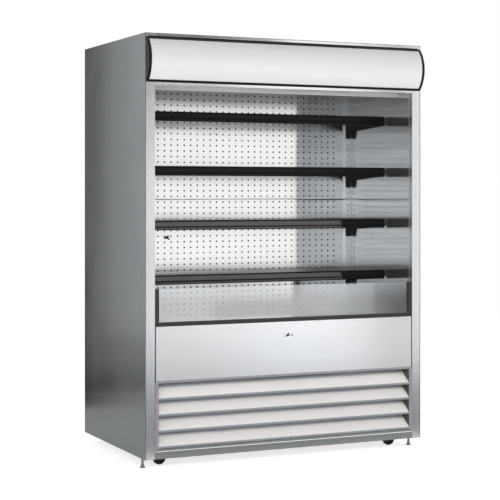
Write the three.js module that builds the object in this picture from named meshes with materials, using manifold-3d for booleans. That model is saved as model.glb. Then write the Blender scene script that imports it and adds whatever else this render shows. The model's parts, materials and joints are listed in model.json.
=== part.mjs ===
// Open multideck display fridge: a stainless cabinet with four bracket shelves, a lit curved
// header, a pull-down night blind and a louvred machine compartment on casters.
// Millimetres, +Z up, +X to the viewer's right, +Y towards the back.
// Pieces are laid out with y = 0 on the cabinet's front plane and z = 0 on the floor. The group
// then moves back, so that the origin is the centre of the footprint's bounding box.

import * as THREE from 'three';
import { mergeVertices } from 'three/addons/utils/BufferGeometryUtils.js';
import Module from 'manifold-3d';

const wasm = await Module();
wasm.setup();

// ---------------------------------------------------------------- driving dimensions
const gap = 0.3; // clearance between pieces that seat on each other
const sheet = 1.5; // folded sheet metal
const overrun = 1; // cutting shapes pass through by this much, joined shapes sink in by it

const cabinetWidth = 1220;
const cabinetDepth = 724;
const cabinetHeight = 1668;
const groundClearance = 40; // floor to the cabinet's bottom edge
const sideWall = 40; // foamed side wall, also the corner post's face width
const postDepth = 25;
const postRound = 2;
const backWall = 58; // foamed back wall
const rearFlange = 20; // side skin folded round the back edge
const topFoam = 40;
const baseHeight = 38; // base frame and bottom rail
const basePlate = 3;
const baseRail = 34; // clear of the swivelling front wheels
const coverStepHeight = 8; // step along the front cover rail's top edge
const coverStepDepth = 2;

const ductDepth = 191; // perforated duct panels to the cabinet's back
const ductPanelFold = 10;
const seamRise = 531; // deck to the joint between the duct panels and the side liner sheets
const seamWidth = 2;
const seamDepth = 1;
const ductPanelRise = 1; // above the ceiling sheet
const deckSpace = 125; // tub's floor to the deck's top, holds the evaporator fan
const deckFront = 44.5;
const tubThickness = 35;
const tubBottom = 340;
const tubFront = 14;
const tubUpstandRise = 43; // above the deck
const returnSlotCount = 20;
const returnSlotRows = 2;
const returnSlotLength = 40;
const returnSlotWidth = 8;
const returnSlotFront = 62;
const returnSlotRowPitch = 16;

const lowerPanelLap = 2; // below the tub
const lowerPanelCover = 3; // above the tub's upstand
const lowerPanelFold = 12;
const lowerPanelSideGap = 4;

const grillePanelGap = 1;
const grilleCheekWidth = 14;
const grilleTopBar = 8;
const grilleTopBarDepth = 20;
const grilleDepth = 62;
const bladeCount = 4;
const bladeFootRise = 10.7; // base frame to the lowest blade's front edge
const bladeHeadroom = 5.4; // what the blades' pitch leaves free below the top bar
const bladeDepth = 58;
const bladeRise = 46; // up behind the next blade, so that no gap shows from the front
const bladeLip = 8;
const bladeSetback = 0.5; // behind the cheeks' front faces

const glassFrameBar = 17;
const glassFrameBottomBar = 15.5;
const glassFrameFront = 2;
const glassFrameDepth = 16;
const glassRise = 144; // above the lower front panel
const glassThickness = 4;
const glassEdgeRound = 1;
const glassSlotDepth = 8;

const shelfCount = 4;
const slotPitch = 24.2;
const topShelfDrop = 286.5; // cabinet's top to the top shelf
const shelfSideGap = 7; // to the side liners
const shelfFront = 220;
const shelfBackGap = 15; // to the duct panels
const shelfSheet = 1.2;
const shelfFold = 28;
const shelfRibDepth = 40;
const shelfRibHeight = 12;
const priceRailDepth = 5.7;
const priceRailHeight = 39;
const priceRailRise = 1.5; // rail's top edge above the shelf
const railRound = 1;
const railNoseHeight = 5; // rolled top edge
const railFaceInset = 3.5; // ticket face behind the nose
const railRidgeDrop = 24; // from the top edge to the ridge that holds the tickets' lower edge
const railRidgeHeight = 5;
const railGrooveInset = 2.8;
const railLipHeight = 3.5;

const uprightWidth = 28;
const uprightDepth = 12.4;
const uprightSideGap = 1;
const uprightFootGap = 5; // above the deck
const uprightTopGap = 4; // below the ceiling
const uprightBlankFoot = 60; // below the lowest slot's centre, at least
const slotWidth = 3.6;
const slotHeight = 14;
const slotsAboveTopShelf = 4;
const bracketThickness = 2.4;
const bracketRearDrop = 81; // below the shelf sheet
const bracketNeckDrop = 48;
const bracketFrontDrop = 34;
const bracketRearDepth = 21;
const bracketNoseReach = 12; // from the shelf's front fold to the bracket's nose
const bracketNoseLength = 40;
const bracketNoseRise = 6;
const bracketNeckSlope = 8;
const hookTopDrop = 12; // from the bracket's top edge to its top hook
const hookHeight = 7;
const hookLip = 4;
const hookTongue = 4;
const hookRound = 2;
const hookCount = 2;
const slotsPerHook = 2;

const ceilingDrop = 168; // below the cabinet's top
const honeycombFront = 98.3;
const honeycombBack = 128;
const honeycombDrop = 40; // ceiling to the outlet's lower edge at the back
const honeycombSlant = 12.3; // outlet's lower edge rises to the front
const honeycombThickness = 22;
const honeycombRim = 4;
const honeycombCells = 38;

const fasciaHeight = 198; // cabinet's top to the rail's lower edge
const cassetteFloorRise = 2;
const cassetteBack = 96;
const cassetteHeight = 90;
const cassetteSlotBack = 46;
const cassettePlate = 3;
const cassettePlateClearance = 5; // above the parked pull bar
const rollerCentreY = 57;
const rollerRise = 46; // above the rail's lower edge
const rollerRadius = 20; // tube with the blind wound on it
const rollerCore = 14;
const rollerPin = 5;
const rollerPinClearance = 0.4;
const rollerEndPlay = 1;
const blindSideGap = 12; // to the side liners
const blindThickness = 0.6;
const pullBarSideGap = 6;
const pullBarDepth = 14;
const pullBarHeight = 14;
const pullBarParkedRise = 8; // above the rail's lower edge
const pullBarLoweredY = -20; // the bar's middle when it straddles the catch
const barRound = 2.5;
const gripDepth = 3;
const gripHeight = 5;
const catchWidth = 37;
const catchHeight = 19;
const catchDrop = 55; // below the lower front panel's top
const catchReach = 22;
const catchPlate = 2.5;
const catchRound = 4;
const catchHookWidth = 9;
const catchHookThickness = 3;
const catchTipDrop = 3;
const catchClearance = 2;

const headerSideInset = 2;
const headerDrop = 14.6; // below the cabinet's top
const headerHeight = 173;
const headerBulge = 38.6;
const headerTrim = 9;
const headerTrimDepth = 5;
const headerPanelThickness = 3;
const headerPanelRecess = 1;
const endCapThickness = 11.5;
const endCapWall = 2.5;
const endCapRim = 3.75;
const lampRadius = 13;
const lampCentreY = -18;
const lampHolderLength = 10;
const lampHolderSize = 30;
const lampHolderInset = 3; // from the end cap
const lampCollarLength = 12;
const lampCollarRound = 2;
const lampCollarStep = 0.8;

const footInset = 15; // from the cabinet's side
const footSetback = 70; // from the front plane
const footPadRadius = 11;
const footPadHeight = 5;
const footChamfer = 1;
const footNeckRadius = 7;
const footNeckHeight = 7;
const footStemRadius = 5;
const footStemTop = 56;
const footHoleClearance = 0.4;
const footNutRadius = 10;
const footNutHeight = 4;

const casterInset = 95; // wheel centre from the cabinet's side
const frontCasterSetback = 101;
const rearCasterInset = 104; // from the cabinet's back
const wheelRadius = 25;
const wheelWidth = 20;
const wheelBoss = 11.5; // half width of the hub
const wheelHubRadius = 8.5;
const wheelTread = 7;
const wheelDish = 3;
const treadCrown = 3;
const axleRadius = 3;
const axleClearance = 0.3;
const casterTrail = 18;
const frontWheelLift = 1.6; // the feet carry the front, so the front wheels hang clear
const forkThickness = 2.5;
const forkPlate = 3;
const forkRadius = 21;
const forkEyeWall = 4.5; // cheek round the axle
const forkCheekRoot = 17;
const forkCrownLip = 2;

const condenserSideGap = 100; // to the left side liner
const condenserWidth = 360;
const condenserBottom = 96;
const condenserHeadroom = 18; // below the tub
const condenserFront = 84;
const condenserDepth = 38;
const shroudDepth = 45;
const condenserFins = 18;
const finSlotDepth = 10;
const finMargin = 6;
const coilFootWidth = 20;
const motorStrapHalf = 9;
const motorStrapThickness = 4;
const condenserFanMargin = 17; // fan's tips to the coil's top and bottom
const fanClearance = 6;
const motorRadius = 32;
const motorLength = 45;
const shaftRadius = 4;
const shaftClearance = 0.3;
const shaftEndInset = 4; // the shaft stops short of the hub's far face
const motorFanGap = 2;
const fanBladeThickness = 2;
const fanBladeTilt = 0.42; // radians
const fanHubRound = 2;
const fanHubRadius = 24;
const condenserFanDepth = 22;

const evaporatorSideGap = 90; // to the side liners
const evaporatorDuctGap = 12; // behind the duct panels
const evaporatorDepth = 100;
const evaporatorHeight = 240;
const evaporatorFins = 20;
const evaporatorFanMargin = 9.75; // fan's tips to the deck and the tub
const evaporatorFanDepth = 20;
const evaporatorFanInset = 53; // in front of the duct panels
const smallMotorRadius = 20;
const smallMotorLength = 36;
const smallHubRadius = 14.4;
const cradleHalfWidth = 8;
const cradleInset = 6;
const cradleSink = 2; // into the motor's round side

const compressorSideInset = 240; // from the right side liner
const compressorBackInset = 294; // from the cabinet's back
const compressorRadius = 78;
const compressorHeight = 190;
const compressorFootHeight = 14;
const compressorPlate = 3;
const compressorPlateReach = 90;
const compressorPlateHalfDepth = 55;
const bushRadius = 9;
const bushInset = 14;
const terminalBoxHalf = 25;
const terminalBoxReach = 97;
const terminalBoxBottom = 70;
const terminalBoxHeight = 60;

const probeSideInset = 257.5; // from the left side liner
const probeRise = 370; // above the deck
const probeRadius = 3;
const probeLength = 20;
const probeStandOff = 6;
const probeTilt = 0.5; // radians
const probeClipHalf = 2;
const probeTailHalf = 1.5;
const probeTailLength = 9;
const probeTailTilt = 0.9; // radians

const ventColumns = 4;
const ventRows = 7;
const ventLength = 180;
const ventHeight = 10;

// ---------------------------------------------------------------- derived planes
const innerHalf = cabinetWidth / 2 - sideWall; // face of the side liners
const seatHalf = innerHalf - gap; // what fits between the side walls ends here
const skinInside = cabinetWidth / 2 - sheet;
const coreHalf = skinInside - gap; // what fits between the outer skins ends here
const backWallFront = cabinetDepth - sheet - gap - backWall;
const backWallBack = backWallFront + backWall;
const baseTop = groundClearance + baseHeight;
const topSheetUnderside = cabinetHeight - sheet;
const standTop = topSheetUnderside - gap; // posts and walls stop under the top sheet
const foamUnderside = topSheetUnderside - topFoam;
const blindHangY = rollerCentreY - rollerRadius - gap - blindThickness / 2;
const frontPlaneY = headerBulge - (cabinetDepth + headerBulge) / 2;
const displayDepth = cabinetDepth - ductDepth;
const tubTop = tubBottom + tubThickness;
const deckTop = tubTop + deckSpace;
const tubUpstandTop = deckTop + tubUpstandRise;
const seamHeight = deckTop + seamRise;
const lowerPanelBottom = tubBottom - lowerPanelLap;
const lowerPanelTop = tubUpstandTop + lowerPanelCover;
const grilleTop = lowerPanelBottom - grillePanelGap;
const ceilingHeight = cabinetHeight - ceilingDrop;
const topRailBottom = cabinetHeight - fasciaHeight;
const rollerCentreZ = topRailBottom + rollerRise;
const shelfTopHeight = cabinetHeight - topShelfDrop;
const headerTop = cabinetHeight - headerDrop;
const headerBottom = headerTop - headerHeight;

// ---------------------------------------------------------------- finishes
const finish = (color, roughness, metalness, extra = {}) =>
  new THREE.MeshStandardMaterial({ color, roughness, metalness, ...extra });
const finishes = {
  sidePanel: finish(0x8c9090, 0.38, 0.9),
  post: finish(0xc9cbcc, 0.35, 0.85),
  liner: finish(0xb9bcbd, 0.22, 0.95),
  galvanised: finish(0x9da1a3, 0.5, 0.8),
  frontPanel: finish(0xd9dadb, 0.3, 0.85),
  louvre: finish(0xdad6d3, 0.42, 0.5),
  baseRail: finish(0x777c7c, 0.45, 0.7),
  blackTrim: finish(0x17191a, 0.35, 0.1),
  priceRail: finish(0x1d2022, 0.18, 0.2),
  bracket: finish(0x2a2d2f, 0.4, 0.6),
  acrylic: finish(0xf1f1f2, 0.3, 0.0),
  glass: finish(0xdfe8e6, 0.05, 0.0, { transparent: true, opacity: 0.35 }),
  chrome: finish(0xd5d8da, 0.08, 1.0),
  aluminium: finish(0xbfc3c5, 0.35, 0.9),
  cloth: finish(0xd4d5d2, 0.85, 0.0),
  lamp: finish(0xf8f8f4, 0.25, 0.0),
  honeycomb: finish(0xe6e7e8, 0.6, 0.0),
  coil: finish(0xa9adaf, 0.45, 0.8),
  blackPaint: finish(0x1b1c1d, 0.5, 0.2),
  fanPlastic: finish(0x26282a, 0.45, 0.0),
  tyre: finish(0x141414, 0.7, 0.0),
  zinc: finish(0xb5b8b8, 0.4, 0.85),
};

// ---------------------------------------------------------------- solid helpers
function solidOf(geometry) {
  const bare = geometry.clone();
  bare.deleteAttribute('normal');
  bare.deleteAttribute('uv');
  const welded = mergeVertices(bare, 1e-4);
  return new wasm.Manifold(new wasm.Mesh({
    numProp: 3,
    vertProperties: new Float32Array(welded.attributes.position.array),
    triVerts: new Uint32Array(welded.index.array),
  }));
}

function geometryOf(solid) {
  const mesh = solid.getMesh();
  const geometry = new THREE.BufferGeometry();
  geometry.setAttribute('position', new THREE.BufferAttribute(mesh.vertProperties, 3));
  geometry.setIndex(new THREE.BufferAttribute(mesh.triVerts, 1));
  geometry.computeVertexNormals();
  return geometry;
}

function join(...pieces) {
  return geometryOf(pieces.map(solidOf).reduce((whole, piece) => whole.add(piece)));
}

function cut(stock, ...tools) {
  return geometryOf(tools.map(solidOf).reduce((whole, tool) => whole.subtract(tool), solidOf(stock)));
}

function box([x0, x1], [y0, y1], [z0, z1]) {
  const geometry = new THREE.BoxGeometry(x1 - x0, y1 - y0, z1 - z0);
  return geometry.translate((x0 + x1) / 2, (y0 + y1) / 2, (z0 + z1) / 2);
}

function extrude(outline, depth, holes = []) {
  const shape = new THREE.Shape(outline.map(([a, b]) => new THREE.Vector2(a, b)));
  for (const hole of holes) {
    shape.holes.push(new THREE.Path(hole.map(([a, b]) => new THREE.Vector2(a, b))));
  }
  return new THREE.ExtrudeGeometry(shape, { depth, bevelEnabled: false });
}

// Outline in (y, z), run along x.
function alongX(outline, [x0, x1], holes) {
  const turn = new THREE.Matrix4().makeBasis(
    new THREE.Vector3(0, 1, 0), new THREE.Vector3(0, 0, 1), new THREE.Vector3(1, 0, 0));
  return extrude(outline, x1 - x0, holes).applyMatrix4(turn).translate(x0, 0, 0);
}

// Outline in (x, z), run along y.
function alongY(outline, [y0, y1], holes) {
  const turn = new THREE.Matrix4().makeBasis(
    new THREE.Vector3(1, 0, 0), new THREE.Vector3(0, 0, 1), new THREE.Vector3(0, -1, 0));
  return extrude(outline, y1 - y0, holes).applyMatrix4(turn).translate(0, y1, 0);
}

// Outline in (x, y), run along z.
function alongZ(outline, [z0, z1], holes) {
  return extrude(outline, z1 - z0, holes).translate(0, 0, z0);
}

function rectangle([a0, a1], [b0, b1]) {
  return [[a0, b0], [a1, b0], [a1, b1], [a0, b1]];
}

function circle(radius, sides, a = 0, b = 0) {
  return Array.from({ length: sides }, (_, i) => {
    const turn = (i / sides) * 2 * Math.PI;
    return [a + radius * Math.cos(turn), b + radius * Math.sin(turn)];
  });
}

// Revolved profile of [radius, height] pairs; the axis runs along z, or along x or y.
function revolve(profile, sides, axis = 'z') {
  const points = profile.map(([radius, height]) => new THREE.Vector2(radius, height));
  const geometry = new THREE.LatheGeometry(points, sides);
  if (axis === 'z') geometry.rotateX(Math.PI / 2);
  if (axis === 'x') geometry.rotateZ(-Math.PI / 2);
  return geometry;
}

function rod(radius, [from, to], sides, axis) {
  return revolve([[0, from], [radius, from], [radius, to], [0, to]], sides, axis);
}

// A sheet bent along a path of (a, b) points: the outline of the path with its thickness on the left.
function folded(path, thickness) {
  const inner = path.map((point, i) => {
    const before = path[Math.max(i - 1, 0)];
    const after = path[Math.min(i + 1, path.length - 1)];
    const normalOf = (p, q) => {
      const length = Math.hypot(q[0] - p[0], q[1] - p[1]);
      return [-(q[1] - p[1]) / length, (q[0] - p[0]) / length];
    };
    const first = i > 0 ? normalOf(before, point) : normalOf(point, after);
    const second = i < path.length - 1 ? normalOf(point, after) : first;
    const scale = thickness / (1 + first[0] * second[0] + first[1] * second[1]);
    return [point[0] + (first[0] + second[0]) * scale, point[1] + (first[1] + second[1]) * scale];
  });
  return [...path, ...inner.reverse()];
}

function mirrored(outline, side) {
  return outline.map(([x, other]) => [side * x, other]);
}

const fridge = new THREE.Group();
fridge.position.set(0, frontPlaneY, 0);

function place(name, geometry, material, [x, y, z] = [0, 0, 0], parent = fridge) {
  const mesh = new THREE.Mesh(geometry, material);
  mesh.name = name;
  mesh.position.set(x, y, z);
  parent.add(mesh);
  return mesh;
}

const sides = [['left', -1], ['right', 1]];

// ---------------------------------------------------------------- cabinet shell
// Outer skin, foam core and inner liner are foamed into one wall. The skin runs from the front
// corner round the back edge and down over the base frame.
function sideWallGeometry(side) {
  const outer = cabinetWidth / 2;
  const skin = [
    [skinInside, 0], [outer, 0], [outer, cabinetDepth], [outer - rearFlange, cabinetDepth],
    [outer - rearFlange, cabinetDepth - sheet], [skinInside, cabinetDepth - sheet],
  ];
  const core = rectangle([innerHalf, skinInside + sheet / 2], [postDepth + gap, backWallFront - gap]);
  const face = side * innerHalf;
  const seam = box([face - seamDepth, face + seamDepth],
    [postDepth, displayDepth], [seamHeight - seamWidth / 2, seamHeight + seamWidth / 2]);
  return cut(join(
    alongZ(mirrored(skin, side), [groundClearance, cabinetHeight]),
    alongZ(mirrored(core, side), [baseTop + gap, standTop]),
  ), seam);
}

// A folded channel with rounded front corners, open to the back.
function cornerPostGeometry(side) {
  const [inner, outer, round] = [innerHalf, coreHalf, postRound];
  const middle = round * (1 - Math.SQRT1_2); // half way round the corner
  const outline = [
    [inner, postDepth], [inner, round], [inner + middle, middle], [inner + round, 0],
    [outer - round, 0], [outer - middle, middle], [outer, round], [outer, postDepth],
    [outer - sheet, postDepth], [outer - sheet, round], [outer - round, sheet],
    [inner + round, sheet], [inner + sheet, round], [inner + sheet, postDepth],
  ];
  return alongZ(mirrored(outline, side), [groundClearance, standTop]);
}

for (const [name, side] of sides) {
  place(`side_wall_${name}`, sideWallGeometry(side), finishes.sidePanel);
  place(`corner_post_${name}`, cornerPostGeometry(side), finishes.post);
}

const backWallBottom = tubBottom + tubThickness / 2;

// Foamed panel between the two outer skins.
function backWallGeometry() {
  return box([-coreHalf, coreHalf], [backWallFront, backWallBack], [backWallBottom, standTop]);
}

function rearVentCoverGeometry() {
  const top = backWallBottom - gap;
  const bottom = baseTop + gap;
  const columnPitch = (2 * coreHalf) / ventColumns;
  const rowPitch = (top - bottom) / (ventRows + 1);
  const vents = [];
  for (let column = 0; column < ventColumns; column += 1) {
    const middle = -coreHalf + columnPitch * (column + 0.5);
    for (let row = 1; row <= ventRows; row += 1) {
      const height = bottom + rowPitch * row;
      vents.push(box(
        [middle - ventLength / 2, middle + ventLength / 2],
        [backWallBack - sheet - overrun, backWallBack + overrun],
        [height - ventHeight / 2, height + ventHeight / 2]));
    }
  }
  return cut(box([-coreHalf, coreHalf], [backWallBack - sheet, backWallBack], [bottom, top]), ...vents);
}

function topPanelGeometry() {
  return join(
    box([-coreHalf, coreHalf], [0, backWallBack], [topSheetUnderside, cabinetHeight]),
    box([-seatHalf, seatHalf], [cassetteBack + gap, backWallFront - gap],
      [foamUnderside, topSheetUnderside + sheet / 2]),
  );
}

place('back_wall', backWallGeometry(), finishes.galvanised);
place('rear_vent_cover', rearVentCoverGeometry(), finishes.galvanised);
place('top_panel', topPanelGeometry(), finishes.sidePanel);

// ---------------------------------------------------------------- base frame and rear casters
const rearWheelCentre = wheelRadius;
const rearCasterSetback = cabinetDepth - rearCasterInset;
const frontWheelCentre = wheelRadius + frontWheelLift;
const wheelX = cabinetWidth / 2 - casterInset;
const footX = cabinetWidth / 2 - footInset;
const footNutBottom = groundClearance - footNutHeight;
const plateUnderside = baseTop - basePlate;
const cheekInside = wheelBoss + axleClearance;
const forkEye = axleRadius + forkEyeWall;
const axleHalf = cheekInside + forkThickness / 2;

// Two cheeks from the base plate down to the axle, which is part of them.
function rearForkParts(x) {
  const cheek = [
    [rearCasterSetback - forkRadius, plateUnderside + basePlate / 2],
    [rearCasterSetback - forkEye, rearWheelCentre - forkEye],
    [rearCasterSetback + forkEye, rearWheelCentre - forkEye],
    [rearCasterSetback + forkRadius, plateUnderside + basePlate / 2],
  ];
  const axle = rod(axleRadius, [-axleHalf, axleHalf], 16, 'x');
  return [
    alongX(cheek, [x - cheekInside - forkThickness, x - cheekInside]),
    alongX(cheek, [x + cheekInside, x + cheekInside + forkThickness]),
    axle.translate(x, rearCasterSetback, rearWheelCentre),
  ];
}

// Bottom plate with rails round its edge, the front cover rail, the foot nuts and the rear forks.
function baseFrameGeometry() {
  const back = backWallBack;
  const front = postDepth + gap;
  const rails = cut(
    box([-coreHalf, coreHalf], [front, back], [groundClearance, baseTop]),
    box([-coreHalf + baseRail, coreHalf - baseRail], [front + baseRail, back - baseRail],
      [groundClearance - overrun, plateUnderside]),
  );
  const coverRail = alongX(folded([
    [front + overrun, groundClearance + overrun], [0, groundClearance + overrun],
    [0, baseTop - coverStepHeight - coverStepDepth], [coverStepDepth, baseTop - coverStepHeight],
    [coverStepDepth, baseTop], [front + overrun, baseTop],
  ], -sheet), [-seatHalf, seatHalf]);
  const nuts = sides.map(([, side]) =>
    rod(footNutRadius, [footNutBottom, groundClearance + overrun], 6)
      .translate(side * footX, footSetback, 0));
  const stemHoles = sides.map(([, side]) =>
    rod(footStemRadius + footHoleClearance, [footNutBottom - overrun, plateUnderside + overrun], 16)
      .translate(side * footX, footSetback, 0));
  const forks = sides.flatMap(([, side]) => rearForkParts(side * wheelX));
  return cut(join(rails, coverRail, ...nuts, ...forks), ...stemHoles);
}

place('base_frame', baseFrameGeometry(), finishes.baseRail);

// ---------------------------------------------------------------- feet
function footGeometry() {
  const neckTop = footPadHeight + footNeckHeight;
  return revolve([
    [0, 0], [footPadRadius - footChamfer, 0], [footPadRadius, footChamfer],
    [footPadRadius, footPadHeight - footChamfer], [footNeckRadius, footPadHeight],
    [footNeckRadius, neckTop], [footStemRadius, neckTop + footChamfer],
    [footStemRadius, footStemTop - footChamfer], [footStemRadius - footChamfer, footStemTop],
    [0, footStemTop],
  ], 20);
}

for (const [name, side] of sides) {
  place(`levelling_foot_${name}`, footGeometry(), finishes.zinc, [side * footX, footSetback, 0]);
}

// ---------------------------------------------------------------- casters
// Wheel about its own centre, axle along x; the tread is crowned and the hub stands proud.
function wheelGeometry() {
  const half = wheelWidth / 2;
  const bore = axleRadius + axleClearance;
  const rim = wheelRadius - wheelTread;
  const hub = wheelHubRadius;
  const web = half - wheelDish;
  const crown = half - treadCrown;
  return revolve([
    [bore, -wheelBoss], [hub, -wheelBoss], [hub, -web], [rim, -web], [rim, -half],
    [wheelRadius - treadCrown, -half], [wheelRadius, -crown], [wheelRadius, crown],
    [wheelRadius - treadCrown, half], [rim, half], [rim, web], [hub, web], [hub, wheelBoss],
    [bore, wheelBoss], [bore, -wheelBoss],
  ], 20, 'x');
}

// Swivel fork about its swivel axis: round head under the base plate, raked cheeks to the axle.
function swivelForkGeometry() {
  const axleHeight = frontWheelCentre;
  const top = plateUnderside - gap;
  const crown = top - forkPlate * 2;
  const cheek = [
    [-forkCheekRoot, crown + forkPlate / 2], [casterTrail - forkEye, axleHeight - forkEye],
    [casterTrail + forkEye, axleHeight - forkEye], [forkRadius, crown + forkPlate / 2],
  ];
  const width = cheekInside + forkThickness;
  const axle = rod(axleRadius, [-axleHalf, axleHalf], 16, 'x');
  return join(
    revolve([[0, crown], [forkRadius, crown], [forkRadius + forkCrownLip, crown + forkPlate],
      [forkRadius - forkCrownLip, top], [0, top]], 28),
    alongX(cheek, [-width, -cheekInside]),
    alongX(cheek, [cheekInside, width]),
    axle.translate(0, casterTrail, axleHeight),
  );
}

// The front casters stand turned sideways, trailing outwards.
for (const [name, side] of sides) {
  const caster = new THREE.Group();
  caster.position.set(side * (wheelX - casterTrail), frontCasterSetback, 0);
  caster.rotation.z = -side * Math.PI / 2;
  fridge.add(caster);
  place(`caster_fork_front_${name}`, swivelForkGeometry(), finishes.zinc, [0, 0, 0], caster);
  place(`caster_wheel_front_${name}`, wheelGeometry(), finishes.tyre,
    [0, casterTrail, frontWheelCentre], caster);
  place(`caster_wheel_rear_${name}`, wheelGeometry(), finishes.tyre,
    [side * wheelX, rearCasterSetback, rearWheelCentre]);
}

// ---------------------------------------------------------------- tub, deck and duct panels
const evaporatorFanY = displayDepth - evaporatorFanInset;
const evaporatorFanZ = (tubTop + deckTop - sheet) / 2;
const evaporatorFanRadius = (deckTop - sheet - tubTop) / 2 - evaporatorFanMargin;
const smallMotorBack = evaporatorFanY - evaporatorFanDepth / 2 - motorFanGap;
const smallMotorFront = smallMotorBack - smallMotorLength;
const smallShaftEnd = evaporatorFanY + evaporatorFanDepth / 2 - shaftEndInset;

// Foamed floor with a front upstand; the fan motor stands on it on a cradle.
function floorTubGeometry() {
  const outline = [
    [tubFront, tubBottom], [backWallFront - gap, tubBottom], [backWallFront - gap, tubTop],
    [deckFront - gap, tubTop], [deckFront - gap, tubUpstandTop], [tubFront, tubUpstandTop],
  ];
  const motor = rod(smallMotorRadius, [smallMotorFront, smallMotorBack], 24, 'x');
  const shaft = rod(shaftRadius, [smallMotorBack - overrun, smallShaftEnd], 12, 'x');
  const alongDepth = (geometry) => geometry.rotateZ(Math.PI / 2).translate(0, 0, evaporatorFanZ);
  const cradle = box([-cradleHalfWidth, cradleHalfWidth],
    [smallMotorFront + cradleInset, smallMotorBack - cradleInset],
    [tubTop - overrun, evaporatorFanZ - smallMotorRadius + cradleSink]);
  return join(alongX(outline, [-seatHalf, seatHalf]), cradle, alongDepth(motor), alongDepth(shaft));
}

// Display floor: a sheet turned up at the front, with rows of return-air slots behind the glass.
function deckPanGeometry() {
  const back = displayDepth - gap;
  const pitch = (2 * seatHalf) / returnSlotCount;
  const slots = Array.from({ length: returnSlotCount * returnSlotRows }, (_, i) => {
    const middle = -seatHalf + pitch * ((i % returnSlotCount) + 0.5);
    const front = returnSlotFront + Math.floor(i / returnSlotCount) * returnSlotRowPitch;
    return box([middle - returnSlotLength / 2, middle + returnSlotLength / 2],
      [front, front + returnSlotWidth], [deckTop - sheet - overrun, deckTop + overrun]);
  });
  const path = [[deckFront, tubUpstandTop], [deckFront, deckTop - sheet], [back, deckTop - sheet]];
  return cut(alongX(folded(path, sheet), [-seatHalf, seatHalf]), ...slots);
}

// Duct panel: a sheet whose long edges fold back towards the duct.
function ductPanelGeometry(bottom, top) {
  const path = [
    [displayDepth + ductPanelFold, bottom], [displayDepth, bottom],
    [displayDepth, top], [displayDepth + ductPanelFold, top],
  ];
  return alongX(folded(path, -shelfSheet), [-seatHalf, seatHalf]);
}

const honeycombBackHeight = ceilingHeight - honeycombDrop;
const honeycombFrontHeight = honeycombBackHeight + honeycombSlant;

// The ceiling sheet turns down at its front edge behind the honeycomb.
function ceilingGeometry() {
  const path = [
    [displayDepth - gap, ceilingHeight], [honeycombBack + gap, ceilingHeight],
    [honeycombBack + gap, honeycombBackHeight],
  ];
  return alongX(folded(path, shelfSheet), [-seatHalf, seatHalf]);
}

// Slanted slab of cells; its face looks down and forwards, and throws the air curtain.
function honeycombGeometry() {
  const outline = [
    [honeycombFront, honeycombFrontHeight], [honeycombBack, honeycombBackHeight],
    [honeycombBack, honeycombBackHeight + honeycombThickness],
    [honeycombFront, honeycombFrontHeight + honeycombThickness],
  ];
  const pitch = (2 * seatHalf - honeycombRim) / honeycombCells;
  const cell = rectangle([honeycombFront + honeycombRim, honeycombBack - honeycombRim],
    [honeycombBackHeight - overrun, honeycombFrontHeight + honeycombThickness + overrun]);
  const cells = Array.from({ length: honeycombCells }, (_, i) => {
    const left = -seatHalf + honeycombRim + pitch * i;
    return alongX(cell, [left, left + pitch - honeycombRim]);
  });
  return cut(alongX(outline, [-seatHalf, seatHalf]), ...cells);
}

place('floor_tub', floorTubGeometry(), finishes.galvanised);
place('deck_pan', deckPanGeometry(), finishes.liner);
place('duct_panel_lower', ductPanelGeometry(deckTop + gap, seamHeight - gap / 2), finishes.liner);
place('duct_panel_upper', ductPanelGeometry(seamHeight + gap / 2, ceilingHeight + ductPanelRise),
  finishes.liner);
place('canopy_ceiling', ceilingGeometry(), finishes.liner);
place('air_outlet_honeycomb', honeycombGeometry(), finishes.honeycomb);

// ---------------------------------------------------------------- top rail and night blind
const cassetteEnd = seatHalf - cassettePlate;
const cassetteFloor = topRailBottom + cassetteFloorRise;
const cassetteTop = topRailBottom + cassetteHeight;
const blindHalfWidth = innerHalf - blindSideGap;
const pullBarHalfLength = innerHalf - pullBarSideGap;
const pullBarParkedZ = topRailBottom + pullBarParkedRise;
const pullBarParkedTop = pullBarParkedZ + pullBarHeight / 2;

// One folded sheet makes the fascia and the blind's cassette; an end plate at each side
// carries the roller's pin.
function topRailGeometry() {
  const path = [
    [0, standTop], [0, topRailBottom], [postDepth, topRailBottom], [postDepth, cassetteTop],
    [cassetteBack, cassetteTop], [cassetteBack, cassetteFloor], [cassetteSlotBack, cassetteFloor],
  ];
  const endOutline = rectangle([postDepth - sheet, cassetteBack],
    [pullBarParkedTop + cassettePlateClearance, cassetteTop]);
  const endHole = circle(rollerPin + rollerPinClearance, 16, rollerCentreY, rollerCentreZ);
  return join(
    alongX(folded(path, sheet), [-seatHalf, seatHalf]),
    alongX(endOutline, [-seatHalf, -cassetteEnd], [endHole]),
    alongX(endOutline, [cassetteEnd, seatHalf], [endHole]),
  );
}

// Tube with the blind wound on it and a pin at each end.
function rollerGeometry() {
  const cloth = blindHalfWidth;
  const tube = cassetteEnd - rollerEndPlay;
  const pin = seatHalf - rollerEndPlay;
  const profile = [
    [0, -pin], [rollerPin, -pin], [rollerPin, -tube], [rollerCore, -tube], [rollerCore, -cloth],
    [rollerRadius, -cloth], [rollerRadius, cloth], [rollerCore, cloth], [rollerCore, tube],
    [rollerPin, tube], [rollerPin, pin], [0, pin],
  ];
  return revolve(profile, 20, 'x');
}

// Where the notch in the bar ends in front of the catch's hook, once the bar is down.
const notchFront = -catchReach - catchClearance - pullBarLoweredY;

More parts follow.
